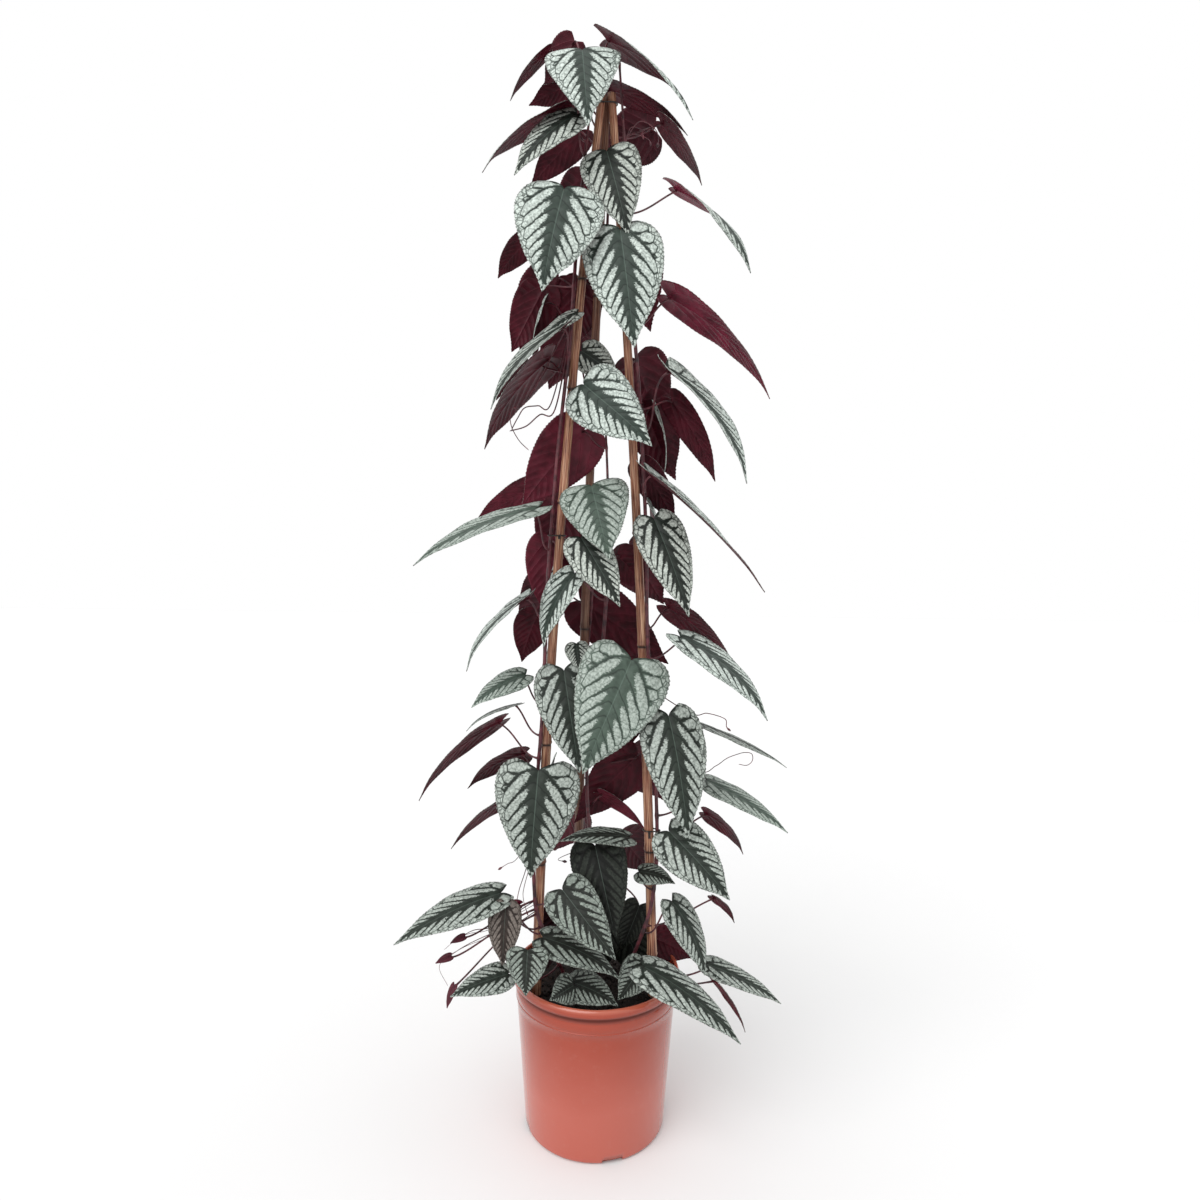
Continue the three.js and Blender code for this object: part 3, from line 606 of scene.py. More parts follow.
# leaf_01 and on, from the top down, with the last four at the back: shoot, height of the stalk's foot, blade
# base, blade tip, width, turn of the upper side away from the front at the base and at the tip in degrees,
# rise of the midrib, droop of the margins, and the look and shoulder where they aren't the usual ones
LEAVES = [
    ("right", 1282, (0, 4, 1312), (98, -35, 1209), 52, -90, -58, 13, 0.1, "usual", 0.22),
    ("left", 1258, (-28, -28, 1284), (-20, -68, 1187), 84, 0, 0, 8, 0.1, "usual", 0.13),
    ("left", 1196, (-36, -6, 1230), (-140, -40, 1148), 66, 84, 80, 12, 0.06),
    ("back", 1198, (-30, 44, 1230), (-95, 72, 1173), 44, 150, 150, 6, 0.08),
    ("right", 1150, (1, -24, 1177), (26, -50, 1077), 68, 4, 0, 8, 0.1, "dark", 0.25),
    ("left", 1104, (-46, -54, 1124), (-68, -80, 1008), 98, 0, 0, 10, 0.1, "usual", 0.3),
    ("right", 1052, (17, -45, 1084), (34, -70, 951), 90, 0, 0, 8, 0.1, "usual", 0.3),
    ("back", 1222, (0, 24, 1267), (96, 8, 1211), 46, -92, -88, 10, 0.06),
    ("back", 1212, (58, 62, 1239), (-16, 72, 1220), 72, 180, 170, 6, 0.06, "dark"),
    ("right", 1112, (80, -15, 1140), (165, -50, 1039), 62, -80, -48, 14, 0.04, "crimson"),
    # leaf_11 and on
    ("right", 984, (75, -12, 1020), (189, -60, 899), 64, -103, -95, 14, 0.04, "crimson"),
    ("back", 1024, (-55, 22, 1051), (-104, 44, 964), 76, 165, 160, 8, 0.08),
    ("left", 950, (-44, -42, 978), (-124, -84, 880), 46, 60, 62, 11, -0.06, "dull"),
    ("left", 930, (-64, -4, 949), (-140, -25, 842), 74, 104, 108, 10, 0.06),
    ("middle", 884, (-22, -46, 913), (55, -76, 843), 74, 5, -10, 8, 0.1, "usual", 0.28),
    ("back", 884, (48, 26, 905), (92, 48, 812), 70, 178, 175, 8, 0.08),
    ("right", 890, (82, 8, 905), (134, -20, 807), 38, -142, -140, 10, 0.08),
    ("right", 862, (72, -50, 929), (161, -90, 803), 72, -66, -64, 14, -0.08),
    ("middle", 846, (-22, 8, 868), (-97, 0, 776), 78, 160, 155, 6, 0.08, "ruby"),
    ("left", 724, (-76, -40, 772), (-209, -90, 709), 72, 70, 70, 8, 0, "mint"),
    # leaf_21 and on
    ("middle", 770, (-12, -38, 799), (9, -88, 717), 80, 0, 0, 8, 0.1, "mint", 0.2),
    ("middle", 706, (-23, -58, 739), (22, -86, 664), 52, -15, -15, 5, 0.1, "dark", 0.3),
    ("middle", 664, (-31, -46, 697), (-66, -62, 614), 56, 50, 54, 8, -0.04),
    ("right", 728, (61, -45, 761), (100, -80, 653), 58, -12, -10, 8, 0.08, "dark", 0.3),
    ("left", 640, (-84, -35, 668), (-154, -70, 587), 60, 80, 78, 10, -0.05),
    ("right", 792, (54, -48, 813), (180, -110, 685), 60, -74, -90, 6, -0.06),
    ("back", 634, (-25, 66, 656), (88, 44, 579), 78, -172, -172, 10, 0.08),
    ("right", 632, (82, 10, 655), (167, -8, 580), 52, -125, -120, 8, 0.06),
    ("right", 596, (95, -45, 624), (190, -95, 540), 76, -68, -66, 12, 0.04),
    ("left", 474, (-119, -18, 515), (-211, -60, 431), 48, 114, 112, 12, 0.06),
    # leaf_31 and on
    ("left", 438, (-92, 4, 470), (-160, -20, 434), 54, 128, 124, 8, 0.08),
    ("left", 566, (-42, -42, 583), (-22, -66, 467), 76, 0, -4, 8, 0.1, "dull", 0.28),
    ("right", 562, (36, -66, 600), (-18, -96, 475), 104, 4, 8, 10, 0.1, "mint", 0.24),
    ("left", 408, (-70, -62, 468), (-77, -84, 348), 98, 0, 4, 8, 0.1, "dull", 0.24),
    ("right", 506, (80, -68, 536), (102, -102, 405), 74, -12, -8, 10, 0.1, "dull", 0.3),
    ("right", 404, (132, -20, 446), (224, -60, 398), 54, -76, -74, 4, 0.04, "mint"),
    ("right", 352, (83, -70, 400), (149, -112, 338), 62, -24, -28, 7, 0.1, "dull"),
    ("middle", 334, (-3, -46, 373), (23, -78, 275), 66, 0, 0, 6, 0.1, "night", 0.25),
    ("left", 296, (-40, -80, 333), (22, -117, 269), 58, -16, -20, 7, 0.1, "dim", 0.25),
    ("left", 268, (-115, -60, 319), (-229, -110, 281), 56, 66, 64, 7, 0.06, "dull"),
    # leaf_41 and on
    ("left", 236, (-62, -70, 270), (28, -96, 236), 48, -66, -70, 8, 0.08, "dim"),
    ("right", 222, (56, -88, 245), (160, -146, 191), 56, -70, -66, 9, 0.08, "dull", 0.3),
    ("right", 262, (90, -52, 307), (128, -80, 232), 50, -52, -46, 8, 0.08, "dull"),
    ("back", 1080, (22, 56, 1108), (60, 92, 1004), 84, 176, 184, 8, 0.1),
    ("back", 760, (-34, 78, 792), (-76, 122, 690), 88, 184, 176, 9, 0.1),
    ("back", 578, (24, 92, 600), (58, 136, 490), 92, 172, 180, 9, 0.1),
    ("back", 330, (-40, 110, 372), (-82, 160, 276), 84, 188, 180, 9, 0.1),
]
# small_leaf_01 and on: those that show in between, and more at the back and at both sides
SMALL_LEAVES = [
    ("left", 1266, (-69, 18, 1306), (-113, 8, 1246), 22, 100, 100, 5, 0.06),
    ("back", 1232, (-39, 25, 1321), (-74, 25, 1272), 40, 170, 170, 5, 0.06),
    ("left", 1180, (-34, -25, 1216), (-101, -60, 1137), 52, 28, 28, 8, 0.04, "dark"),
    ("right", 1200, (64, 15, 1227), (114, 5, 1153), 40, -100, -98, 6, 0.06),
    ("left", 1066, (-90, 10, 1090), (-128, 15, 1047), 38, 130, 130, 5, 0.06),
    ("left", 932, (-92, 20, 952), (-131, 25, 905), 32, 130, 130, 5, 0.06),
    ("middle", 896, (-26, 8, 961), (19, 8, 930), 40, 0, 0, 5, 0.08, "dark"),
    ("back", 850, (-76, 40, 802), (-160, 20, 750), 46, 140, 140, 8, 0.08, "ruby"),
    ("back", 690, (-63, 44, 735), (-71, 30, 642), 60, 178, 178, 6, 0.08, "ruby"),
    ("left", 612, (-76, 6, 646), (-97, 10, 585), 50, 160, 160, 5, 0.06),
    # small_leaf_11 and on
    ("back", 690, (21, 50, 717), (60, 45, 673), 46, 180, 180, 5, 0.06),
    ("left", 540, (-90, -20, 573), (-151, -45, 539), 42, 55, 55, 6, 0.04, "mint"),
    ("left", 502, (-98, -20, 537), (-157, -45, 511), 34, 92, 92, 6, 0.04, "dull"),
    ("left", 392, (-103, -15, 424), (-177, -40, 366), 50, 115, 115, 6, 0.06),
    ("middle", 590, (-28, -34, 614), (-24, -44, 584), 28, 0, 0, 3, 0.06, "dark"),
    ("back", 440, (49, 36, 460), (-30, 28, 375), 66, 180, 180, 10, 0.08),
    ("back", 480, (40, 50, 510), (43, 44, 474), 34, 180, 180, 4, 0.06),
    ("back", 380, (2, 30, 412), (60, 24, 369), 20, -150, -150, 5, 0.06, "ruby"),
    ("right", 486, (124, -25, 516), (220, -60, 476), 38, -88, -88, 3, 0.04, "dull"),
    ("right", 372, (131, -10, 402), (176, -40, 363), 42, -120, -120, 7, 0.06),
    # small_leaf_21 and on
    ("right", 270, (142, -20, 300), (169, -30, 272), 28, -120, -120, 4, 0.06),
    ("middle", 360, (36, -55, 387), (-44, -80, 392), 42, 80, 80, 5, 0.04, "dim"),
    ("right", 316, (50, -45, 341), (92, -60, 334), 32, -60, -60, 4, 0.06, "dim"),
    ("left", 262, (-106, -75, 312), (-108, -92, 247), 38, 0, 0, 4, 0.06, "young", 0.4),
    ("left", 214, (-102, -88, 235), (-164, -115, 223), 40, 62, 62, 3, 0.04, "dull"),
    ("left", 232, (-79, -92, 266), (-79, -118, 226), 48, 0, 0, 4, 0.06, "dim", 0.25),
    ("middle", 196, (-31, -55, 208), (26, -85, 197), 46, -60, -60, 5, 0.06, "dim"),
    ("right", 214, (56, -62, 236), (26, -80, 200), 40, 10, 10, 4, 0.06, "dim"),
    ("right", 206, (135, -40, 224), (220, -70, 193), 40, -75, -75, 4, 0.04, "dull"),
    ("back", 1150, (-22, 50, 1176), (-56, 84, 1100), 60, 190, 188, 6, 0.08),
    # small_leaf_31 and on
    ("back", 980, (-40, 62, 1010), (-70, 96, 930), 72, 190, 186, 7, 0.08, "mint"),
    ("back", 930, (40, 58, 962), (78, 92, 876), 76, 172, 176, 7, 0.08),
    ("back", 700, (36, 78, 730), (84, 108, 650), 78, 170, 172, 7, 0.08),
    ("back", 650, (-60, 84, 682), (-110, 104, 604), 70, 196, 190, 7, 0.08, "dark"),
    ("back", 500, (-10, 96, 540), (-34, 128, 452), 80, 190, 186, 8, 0.08),
    ("back", 420, (44, 96, 452), (92, 132, 372), 74, 170, 174, 7, 0.08, "mint"),
    ("back", 300, (30, 104, 330), (76, 140, 262), 64, 172, 174, 6, 0.08, "dull"),
    ("back", 240, (-10, 104, 268), (-34, 138, 214), 50, 182, 182, 5, 0.08, "dull"),
    ("right", 800, (45, 0, 827), (89, -8, 756), 42, -150, -150, 6, 0.08, "dark"),
    ("right", 196, (141, -50, 211), (177, -80, 163), 30, -112, -112, 4, 0.06),
    # small_leaf_41 and on
    ("back", 250, (39, 26, 233), (71, 20, 159), 58, 10, 10, 5, 0.08, "night"),
    ("right", 270, (75, 30, 221), (125, 20, 200), 44, 170, 170, 5, 0.08),
    ("middle", 280, (11, 20, 252), (-1, 10, 181), 60, -10, -10, 5, 0.08, "night"),
    ("back", 290, (-41, 34, 258), (-64, 26, 181), 60, 170, 170, 5, 0.08, "night"),
    ("back", 300, (54, 10, 274), (31, 0, 220), 40, 0, 0, 4, 0.08, "night"),
    ("left", 1030, (-73, 24, 1038), (-111, 14, 960), 54, 170, 165, 6, 0.08),
    ("back", 1040, (-26, 26, 1046), (-39, 20, 965), 56, 180, 180, 6, 0.08),
    ("left", 300, (-153, -80, 276), (-169, -86, 270), 8, 40, 40, 2, 0.1, "bud"),
    ("left", 290, (-168, -84, 254), (-185, -92, 249), 9, 40, 40, 2, 0.1, "bud"),
    ("middle", 210, (-26, -70, 212), (-53, -88, 204), 36, 30, 30, 3, 0.08, "dim"),
    # small_leaf_51 and on
    ("left", 300, (-94, -40, 296), (-135, -56, 294), 20, 150, 150, 3, 0.06, "crimson"),
    ("back", 1216, (-33, 30, 1283), (-93, 34, 1253), 36, 160, 160, 5, 0.06),
    ("left", 284, (-164, -88, 221), (-172, -92, 195), 9, 30, 30, 2, 0.1, "bud"),
    ("left", 990, (-31, -26, 997), (-76, -40, 959), 24, 40, 40, 4, 0.06, "dark"),
    ("right", 870, (64, 20, 900), (76, 45, 810), 60, -90, -96, 7, 0.08, "usual", 0.3),
    ("right", 754, (60, 20, 784), (72, 45, 694), 64, -90, -96, 7, 0.08, "usual", 0.3),
    ("right", 518, (58, 20, 548), (70, 45, 458), 66, -90, -96, 7, 0.08, "usual", 0.3),
    ("right", 456, (90, 20, 486), (102, 45, 396), 58, -90, -96, 7, 0.08, "usual", 0.3),
    ("left", 992, (-72, 20, 1022), (-84, 45, 932), 56, 90, 96, 7, 0.08, "usual", 0.3),
    ("left", 696, (-50, 20, 726), (-62, 45, 636), 62, 90, 96, 7, 0.08, "usual", 0.3),
    # small_leaf_61 and on
    ("left", 574, (-62, 20, 604), (-74, 45, 514), 62, 90, 96, 7, 0.08, "usual", 0.3),
    ("left", 422, (-58, 20, 452), (-70, 45, 362), 60, 90, 96, 7, 0.08, "usual", 0.3),
]

# Leaf above: a matt-satin cuticle. A dark green strip with combed edges runs along the midrib, thin darker
# side veins leave it with silver patches between them, and along the margin the silver is cut into cells
# about 5 mm wide. Patterns read the blade in millimetres, so they keep their size on any leaf.
leaf_above, shader, add = new_material("silver_marked_leaf_above", Roughness=0.48, Specular_IOR_Level=0.2)
MARGIN_CELL = 5


def leaf_net(add):
    """What both sides of a leaf read: how far out from the midrib a place is, how far from the closest vein
    (0 on it, 0.5 between two), the vein number, the numbers kept at each point, noise, and the place in mm.
    Above the lowest pair, veins are lines of equal number, and below it branches at equal shares."""
    veins = add("SeparateXYZ", [add("UVMap", uv_map="veins")]).node.outputs
    place = add("UVMap", uv_map="blade_mm")
    numbers = add("VertexColor", layer_name="numbers")
    kept = add("SeparateColor", [numbers]).node.outputs
    noise = add("TexNoise", {"Vector": place, "Scale": 0.11, "Detail": 3.0})
    drift = add("MapRange", [noise, 0.0, 1.0, -0.18, 0.18])
    number = add("Math", [veins["Y"], drift], operation="ADD")
    side_vein = add("Math", [number, 0.5], operation="PINGPONG")
    share = add("Math", [kept["Green"], drift], operation="ADD")
    branch = add("Math", [share, 0.5], operation="PINGPONG")
    outside = add("MapRange", [veins["Y"], -0.06, 0.06, 1.0, 0.0])
    inner = add("Mix", {"Factor": outside, "A": side_vein, "B": branch}, "Result")
    lowest = add("Math", [veins["Y"]], operation="ABSOLUTE")
    near = add("Math", [inner, lowest], operation="MINIMUM")
    out = add("Math", [veins["X"]], operation="ABSOLUTE")
    return out, near, number, kept, noise, place


out, near, number, kept, noise, place = leaf_net(add)
# the silver patches: between the veins, and off the combed strip
comb_place = add("Mapping", {"Vector": place, "Scale": (0.25, 0.65, 1)})
comb = add("TexNoise", {"Vector": comb_place, "Scale": 1.0, "Detail": 2.0})
swing = add("Math", [comb, 0.5], operation="SUBTRACT")
raggedness = add("Math", [kept["Blue"], 1.4, 0.15], operation="MULTIPLY_ADD")
ragged = add("Math", [swing, raggedness, near], operation="MULTIPLY_ADD")
part = add("Math", [number], operation="FRACT")
side = add("MapRange", [part, 0.45, 0.55, 0.55, 1.0])
green_width = add("Math", [kept["Red"], side], operation="MULTIPLY")
past_green = add("Math", [ragged, green_width], operation="SUBTRACT")
between_veins = add("MapRange", [past_green, -0.03, 0.07])
teeth = add("Math", [swing, 0.9, kept["Blue"]], operation="MULTIPLY_ADD")
off_strip = add("MapRange", [teeth, 0.66, 0.56])
patch = add("Math", [between_veins, off_strip], operation="MULTIPLY")
# the loops that join the side veins near the margin, and the cells beyond them
loop_at = add("Math", [near, 0.2, 0.76], operation="MULTIPLY_ADD")
from_loop = add("Math", [out, loop_at], operation="SUBTRACT")
off_loop = add("Math", [from_loop], operation="ABSOLUTE")
loop_line = add("MapRange", [off_loop, 0.008, 0.028, 1.0, 0.0])
beyond = add("MapRange", [from_loop, -0.01, 0.01])
cell_place = {"Vector": place, "Scale": 1 / MARGIN_CELL}
cells = add("TexVoronoi", cell_place, "Distance", feature="DISTANCE_TO_EDGE")
cell_line = add("MapRange", [cells, 0.03, 0.14, 0.8, 0.0])
net_share = add("MapRange", [beyond, 0.0, 1.0, 0.4, 1.0])
net_line = add("Math", [net_share, cell_line], operation="MULTIPLY")
lines = add("Math", [loop_line, net_line], operation="MAXIMUM")
off_line = add("Math", [1.0, lines], operation="SUBTRACT")
silver_zone = add("Math", [patch, beyond], operation="MAXIMUM")
grain = add("TexNoise", {"Vector": place, "Scale": 0.36, "Detail": 4.0})
mottled = add("MapRange", [grain, 0.32, 0.5, 0.6, 1.0])
silver_there = add("Math", [silver_zone, off_line], operation="MULTIPLY")
silver_share = add("Math", [silver_there, mottled], operation="MULTIPLY")
# the greens, darker on the veins and paler on the midrib, and the silver with its grain
green = add("VertexColor", layer_name="green")
green_value = add("MapRange", [noise, 0.3, 0.7, 0.75, 1.25])
vein_shade = add("MapRange", [near, 0.01, 0.09, 0.5, 1.0])
veined_value = add("Math", [green_value, vein_shade], operation="MULTIPLY")
green_shade = add("HueSaturation", {"Color": green, "Value": veined_value})
rib = add("MapRange", [out, 0.004, 0.018, 0.3, 0.0])
silver = add("VertexColor", layer_name="silver")
silver_value = add("MapRange", [grain, 0.3, 0.7, 0.8, 1.25])
silver_shade = add("HueSaturation", {"Color": silver, "Value": silver_value})
margin = add("MapRange", [out, 0.97, 0.995, 0.0, 0.2])
surface = green_shade
for share, colour in (
    (rib, linear("#6F8277")), (silver_share, silver_shade), (margin, linear("#4E3230")),
):
    layer = {"Factor": share, "A": surface, "B": colour}
    surface = add("Mix", layer, "Result", data_type="RGBA")
puffed = add("Math", [near, 0.6], operation="POWER")
height = add("Math", [cells, 0.3, puffed], operation="MULTIPLY_ADD")
quilted = add("Bump", {"Height": height, "Strength": 0.5, "Distance": 0.0012})
fill_inputs(shader, {"Base Color": surface, "Normal": quilted})

# Leaf beneath: wine red with a satin sheen, in lighter and darker clouds, and darker in the hollows between
# the veins with painted shade; the midrib and side veins stand out and are a little paler.
leaf_beneath, shader, add = new_material("wine_red_leaf_beneath", Roughness=0.45, Specular_IOR_Level=0.2)
out, near, _, _, noise, place = leaf_net(add)
on_vein = add("MapRange", [near, 0.02, 0.08, 1.0, 0.0])
on_rib = add("MapRange", [out, 0.012, 0.04, 1.0, 0.0])
raised = add("Math", [on_vein, on_rib], operation="MAXIMUM")
wine = add("VertexColor", layer_name="wine")
broad = add("TexNoise", {"Vector": place, "Scale": 0.03, "Detail": 2.0})
# darker away from the veins: painted shade in the hollows, with random grain
hollow_painted_shade_and_grain = add("Math", [near, 0.25, noise], operation="MULTIPLY_ADD")
tone = add("Math", [broad, 1.4, hollow_painted_shade_and_grain], operation="MULTIPLY_ADD")
wine_value = add("MapRange", [tone, 0.85, 1.6, 1.5, 0.5])
wine_shade = add("HueSaturation", {"Color": wine, "Value": wine_value})
vein_share = add("Math", [raised, 0.22], operation="MULTIPLY")
vein_colours = {"Factor": vein_share, "A": wine_shade, "B": linear("#6A2434")}
wines = add("Mix", vein_colours, "Result", data_type="RGBA")
sunk = add("Math", [near, -0.6], operation="MULTIPLY")
relief = add("Math", [raised, 0.8, sunk], operation="MULTIPLY_ADD")
ribbed = add("Bump", {"Height": relief, "Strength": 0.4, "Distance": 0.0012})
fill_inputs(shader, {"Base Color": wines, "Normal": ribbed})


def blade_frame(base, tip, turns):
    """A blade's own directions: along it, and at each share of its length up and across."""
    base, tip = np.array(base, float), np.array(tip, float)
    length = np.linalg.norm(tip - base)
    along = (tip - base) / length
    front = np.array([0.0, -1.0, 0.0])
    front = unit(front - along * (front @ along))
    side = np.cross(along, front)

    def at(s):
        turn = np.radians(turns[0] + (turns[1] - turns[0]) * np.asarray(s, float))[..., None]
        up = front * np.cos(turn) + side * np.sin(turn)
        return up, np.cross(along, up)

    return base, along, length, at


def outline(s, shoulder):
    """Half width of a blade of width 2: (1 - s) (s + NOTCH)^shoulder, brought to 1 where it is widest, which
    is nearer the base for a smaller shoulder, and drawn in near the tip by NIP."""
    widest = shoulder ** shoulder / (1 + shoulder) ** (1 + shoulder)
    nip = 1 - NIP * smooth((s - NIP_FROM) / (1 - NIP_FROM))
    return (s + NOTCH) ** shoulder * (1 - s) * nip / widest


def vein_numbers(s, c, shoulder):
    """Which side vein each place is at: whole numbers on a vein, growing faster towards the tip, pushed on by
    VEIN_ADVANCE |c|^1.3 because the veins sweep forward, and set off on one side by VEIN_STAGGER."""
    past = s - VEIN_ADVANCE * outline(s, shoulder) * np.abs(c) ** 1.3
    stagger = VEIN_STAGGER * smooth((c + 0.12) / 0.24) * smooth(s / 0.1)
    return past * (VEINS_AT_BASE + VEINS_CROWDING * past) + stagger


def blade_rise(rng, s, c, vein, width, arch, droop, size):
    """Height of the blade over its own line: arch 4 s (1 - s) - droop width |c|^1.6 (1 - s^2), plus a quilt
    of sin^2 between the veins, a sunken midrib, waves along the margin and a curled tip."""
    out = np.abs(c)
    between = np.where(vein > 0, np.sin(math.pi * vein) ** 2, np.sin(math.pi * BRANCHES * s) ** 2 * 0.7)
    between = between * smooth(np.abs(vein) / 0.3)
    window = smooth(out / 0.25) * smooth((1.02 - out) / 0.3) * smooth((1 - s) / 0.15)
    quilt = QUILT * size * between * window * (1 - 0.6 * s) - RIB_SINK * size * hump(out, RIB_HALF)
    phase = rng.uniform(0, 2 * math.pi, 3)
    wave = WAVE * np.sin(9 * s + phase[0] + (c > 0) * phase[1]) + RIPPLE * np.sin(23 * s + phase[2])
    curl = TIP_CURL * size * smooth((s - TIP_CURL_FROM) / (1 - TIP_CURL_FROM)) ** 2
    bend = arch * 4 * s * (1 - s) - droop * width * out ** 1.6 * (1 - s * s)
    return bend + quilt + size * out ** 3 * wave * (1 - s) - curl


def stalk_rings(foot, climb, base, along, up, slope):
    """A stalk from its shoot to under the blade's notch: a cubic curve that leaves the shoot square to it,
    comes up to the blade from beneath and is thicker at both ends."""
    away = unit((base - foot) - climb * ((base - foot) @ climb))
    start = foot + away * (STEM_R - STALK_SUNK)
    end = base + along * STALK_PAST_NOTCH + up * (slope * STALK_PAST_NOTCH - STALK_UNDER)
    reach = STALK_BEND * np.linalg.norm(end - start)
    arriving = unit(0.3 * along + 0.7 * up)
    t = np.linspace(0, 1, STALK_STEPS)[:, None]
    stalk = start * (1 - t) ** 3 + 3 * (start + away * reach) * t * (1 - t) ** 2
    stalk = stalk + 3 * (end - arriving * reach) * t * t * (1 - t) + end * t ** 3
    flares = 0.5 * hump(t[:, 0], STALK_FLARE_REACH) + 0.35 * hump(1 - t[:, 0], STALK_FLARE_REACH)
    beside = np.cross(away, arriving) + (0.01, 0.02, 0.03)
    return tube(stalk, STALK_R * (0.95 + flares), STALK_SIDES, beside)


def leaf_arrays(
    seed, shoot, foot_z, base, tip, width, turn_base, turn_tip, arch, droop,
    look="usual", shoulder=USUAL_SHOULDER,
):
    """Points, faces, maps and colours of one leaf. A blade point is base + along L (s - lobe) + across half c
    + up rise, with s from base to tip and c across; the ring of each row goes round both sides."""
    rng = np.random.default_rng(FIRST_SEED + seed)
    base, along, length, at = blade_frame(base, tip, (turn_base, turn_tip))
    size = width / USUAL_WIDTH
    rows, columns = LARGE_GRID if width >= LARGE_FROM else SMALL_GRID
    s = np.linspace(0, 1, rows)[:, None] ** ROW_CROWDING
    c = np.linspace(-1, 1, columns)[None]
    c = np.sign(c) * np.abs(c) ** ROW_CROWDING
    out = np.abs(c)
    tooth = TOOTH * size * (out == 1) * (-1.0) ** np.arange(rows)[:, None] * rng.uniform(0.4, 1.6, s.shape)
    bare_half = width / 2 * outline(s, shoulder)
    half = bare_half + TIP_HALF + tooth * (s < 0.97)
    vein = vein_numbers(s, c, shoulder)
    rise = blade_rise(rng, s, c, vein, width, arch, droop, size) + BLADE / 2
    lobe = LOBE * (1 - s) ** 4 * out ** 0.6
    up, across = at(s + 0 * c)
    flat = base + along * (length * (s - lobe))[..., None] + across * (half * c)[..., None]
    thickness = BLADE * (0.75 - 0.3 * out) + RIB_THICKER * size * hump(out, RIB_HALF) * (1 - s)
    face_up = flat + up * rise[..., None]
    face_down = flat + up * (rise - thickness)[..., None]

    def round_both(above, below):
        return np.concatenate([above, below[:, ::-1], above[:, :1]], 1)

    ring = round_both(face_up, face_down)
    number = round_both(vein, vein)
    place_c = round_both(c, c) + 0 * s
    place_s = s + 0 * place_c
    count = ring.shape[1]
    j = np.arange(columns - 1)
    base_end = np.stack([j, count - 2 - j, count - 3 - j, j + 1], -1)
    tip_end = (rows - 1) * count + np.stack([j, j + 1, count - 3 - j, count - 2 - j], -1)
    faces = np.concatenate([grid_faces(rows, count), base_end, tip_end])
    kinds = np.tile(np.r_[np.zeros(columns, int), np.ones(columns - 1, int), 0], rows - 1)
    kinds = np.concatenate([kinds, np.zeros(2 * len(j), int)])

    foot = shoot_route(shoot, foot_z)
    climb = unit(shoot_route(shoot, foot_z + 5.0) - foot)
    rings = stalk_rings(foot, climb, base, along, at(0.0)[0], 4 * arch / length)
    blade_points = ring.size // 3
    points = np.concatenate([ring.reshape(-1, 3), rings.reshape(-1, 3)])
    stalk_faces = grid_faces(*rings.shape[:2]) + blade_points
    faces = np.concatenate([faces, stalk_faces])
    kinds = np.concatenate([kinds, np.full(len(stalk_faces), 2)])

    stalk_zero = np.zeros((len(points) - blade_points, 2))
    blade_mm = np.stack([place_c * bare_half, place_s * length + PATTERN_STEP * seed], -1)
    uvs = {
        "veins": np.concatenate([np.stack([place_c, number], -1).reshape(-1, 2), stalk_zero]),
        "blade_mm": np.concatenate([blade_mm.reshape(-1, 2), stalk_zero]),
    }
    green, silver, wine, spread = LEAF_LOOKS[look]
    from_rib = np.abs(place_c) * outline(place_s, shoulder) ** 0.3 / GREEN_HALF
    band = np.where(number > 0, np.exp(-from_rib ** 2), 0.2 * np.exp(3.2 * np.minimum(number, 0)))
    band = band * smooth((1 - place_s) / 0.1)
    green_width = (GREEN_BESIDE_VEIN * spread + GREEN_BESIDE_RIB * band) * rng.uniform(0.9, 1.15)
    numbers = np.ones((len(points), 4))
    numbers[:blade_points, :3] = np.stack([green_width, BRANCHES * place_s, band], -1).reshape(-1, 3)
    colours = {"green": linear(green), "silver": linear(silver), "wine": linear(wine), "numbers": numbers}
    return points, faces, uvs, colours, kinds


for seed, row in enumerate(LEAVES + SMALL_LEAVES):
    node = f"leaf_{seed + 1:02d}"
    has_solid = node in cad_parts
    name = node.replace("leaf", "blade") if has_solid else f"small_leaf_{seed + 1 - len(LEAVES):02d}"
    points, faces, uvs, colours, kinds = leaf_arrays(seed, *row)
    made = make_piece(name, points, faces, [leaf_above, leaf_beneath, stem_skin], uvs, colours, kinds)
    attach(made, "root")
    if has_solid:
        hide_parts(node)

# The shoots themselves: each tapers over its last quarter metre and swells under each leaf's stalk.
STEM_SIDES = 14
STEM_ROWS = 220
STEM_TAPER = 0.9
STEM_TAPER_LENGTH = 260
SWELL = 0.55
SWELL_REACH = 3.5
for name in ("left", "right", "back", "middle"):
    top_z = SHOOTS[name]["top"] if name in SHOOTS else MIDDLE_SHOOT[-1, 2]
    feet = np.array([row[1] for row in LEAVES + SMALL_LEAVES if row[0] == name], float)
    z = np.unique(np.concatenate([np.linspace(STEM_ROOT_Z, top_z, STEM_ROWS), feet, feet - 3, feet + 3]))
    z = z[(z >= STEM_ROOT_Z) & (z <= top_z)]
    swelling = SWELL * hump(z[:, None] - feet, SWELL_REACH).max(1)
    taper = STEM_TAPER * smooth((z - top_z + STEM_TAPER_LENGTH) / STEM_TAPER_LENGTH)
    rings = tube(shoot_route(name, z), STEM_R - taper + swelling, STEM_SIDES, beside=(1, 0, 0))
    made = make_piece(f"stem_{name}", rings.reshape(-1, 3), grid_faces(*rings.shape[:2]), [stem_skin])
    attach(made, "root")
    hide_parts(f"shoot_{name}")

# Tendrils and buds: thin side shoots that reach out and curl, of the same wine-red skin.
# Each starts on a shoot, and some end in a bud, which is a swelling of the last few millimetres.
TENDRIL_SIDES = 8
TENDRIL_STEPS = 9
BUD_LENGTH = 5
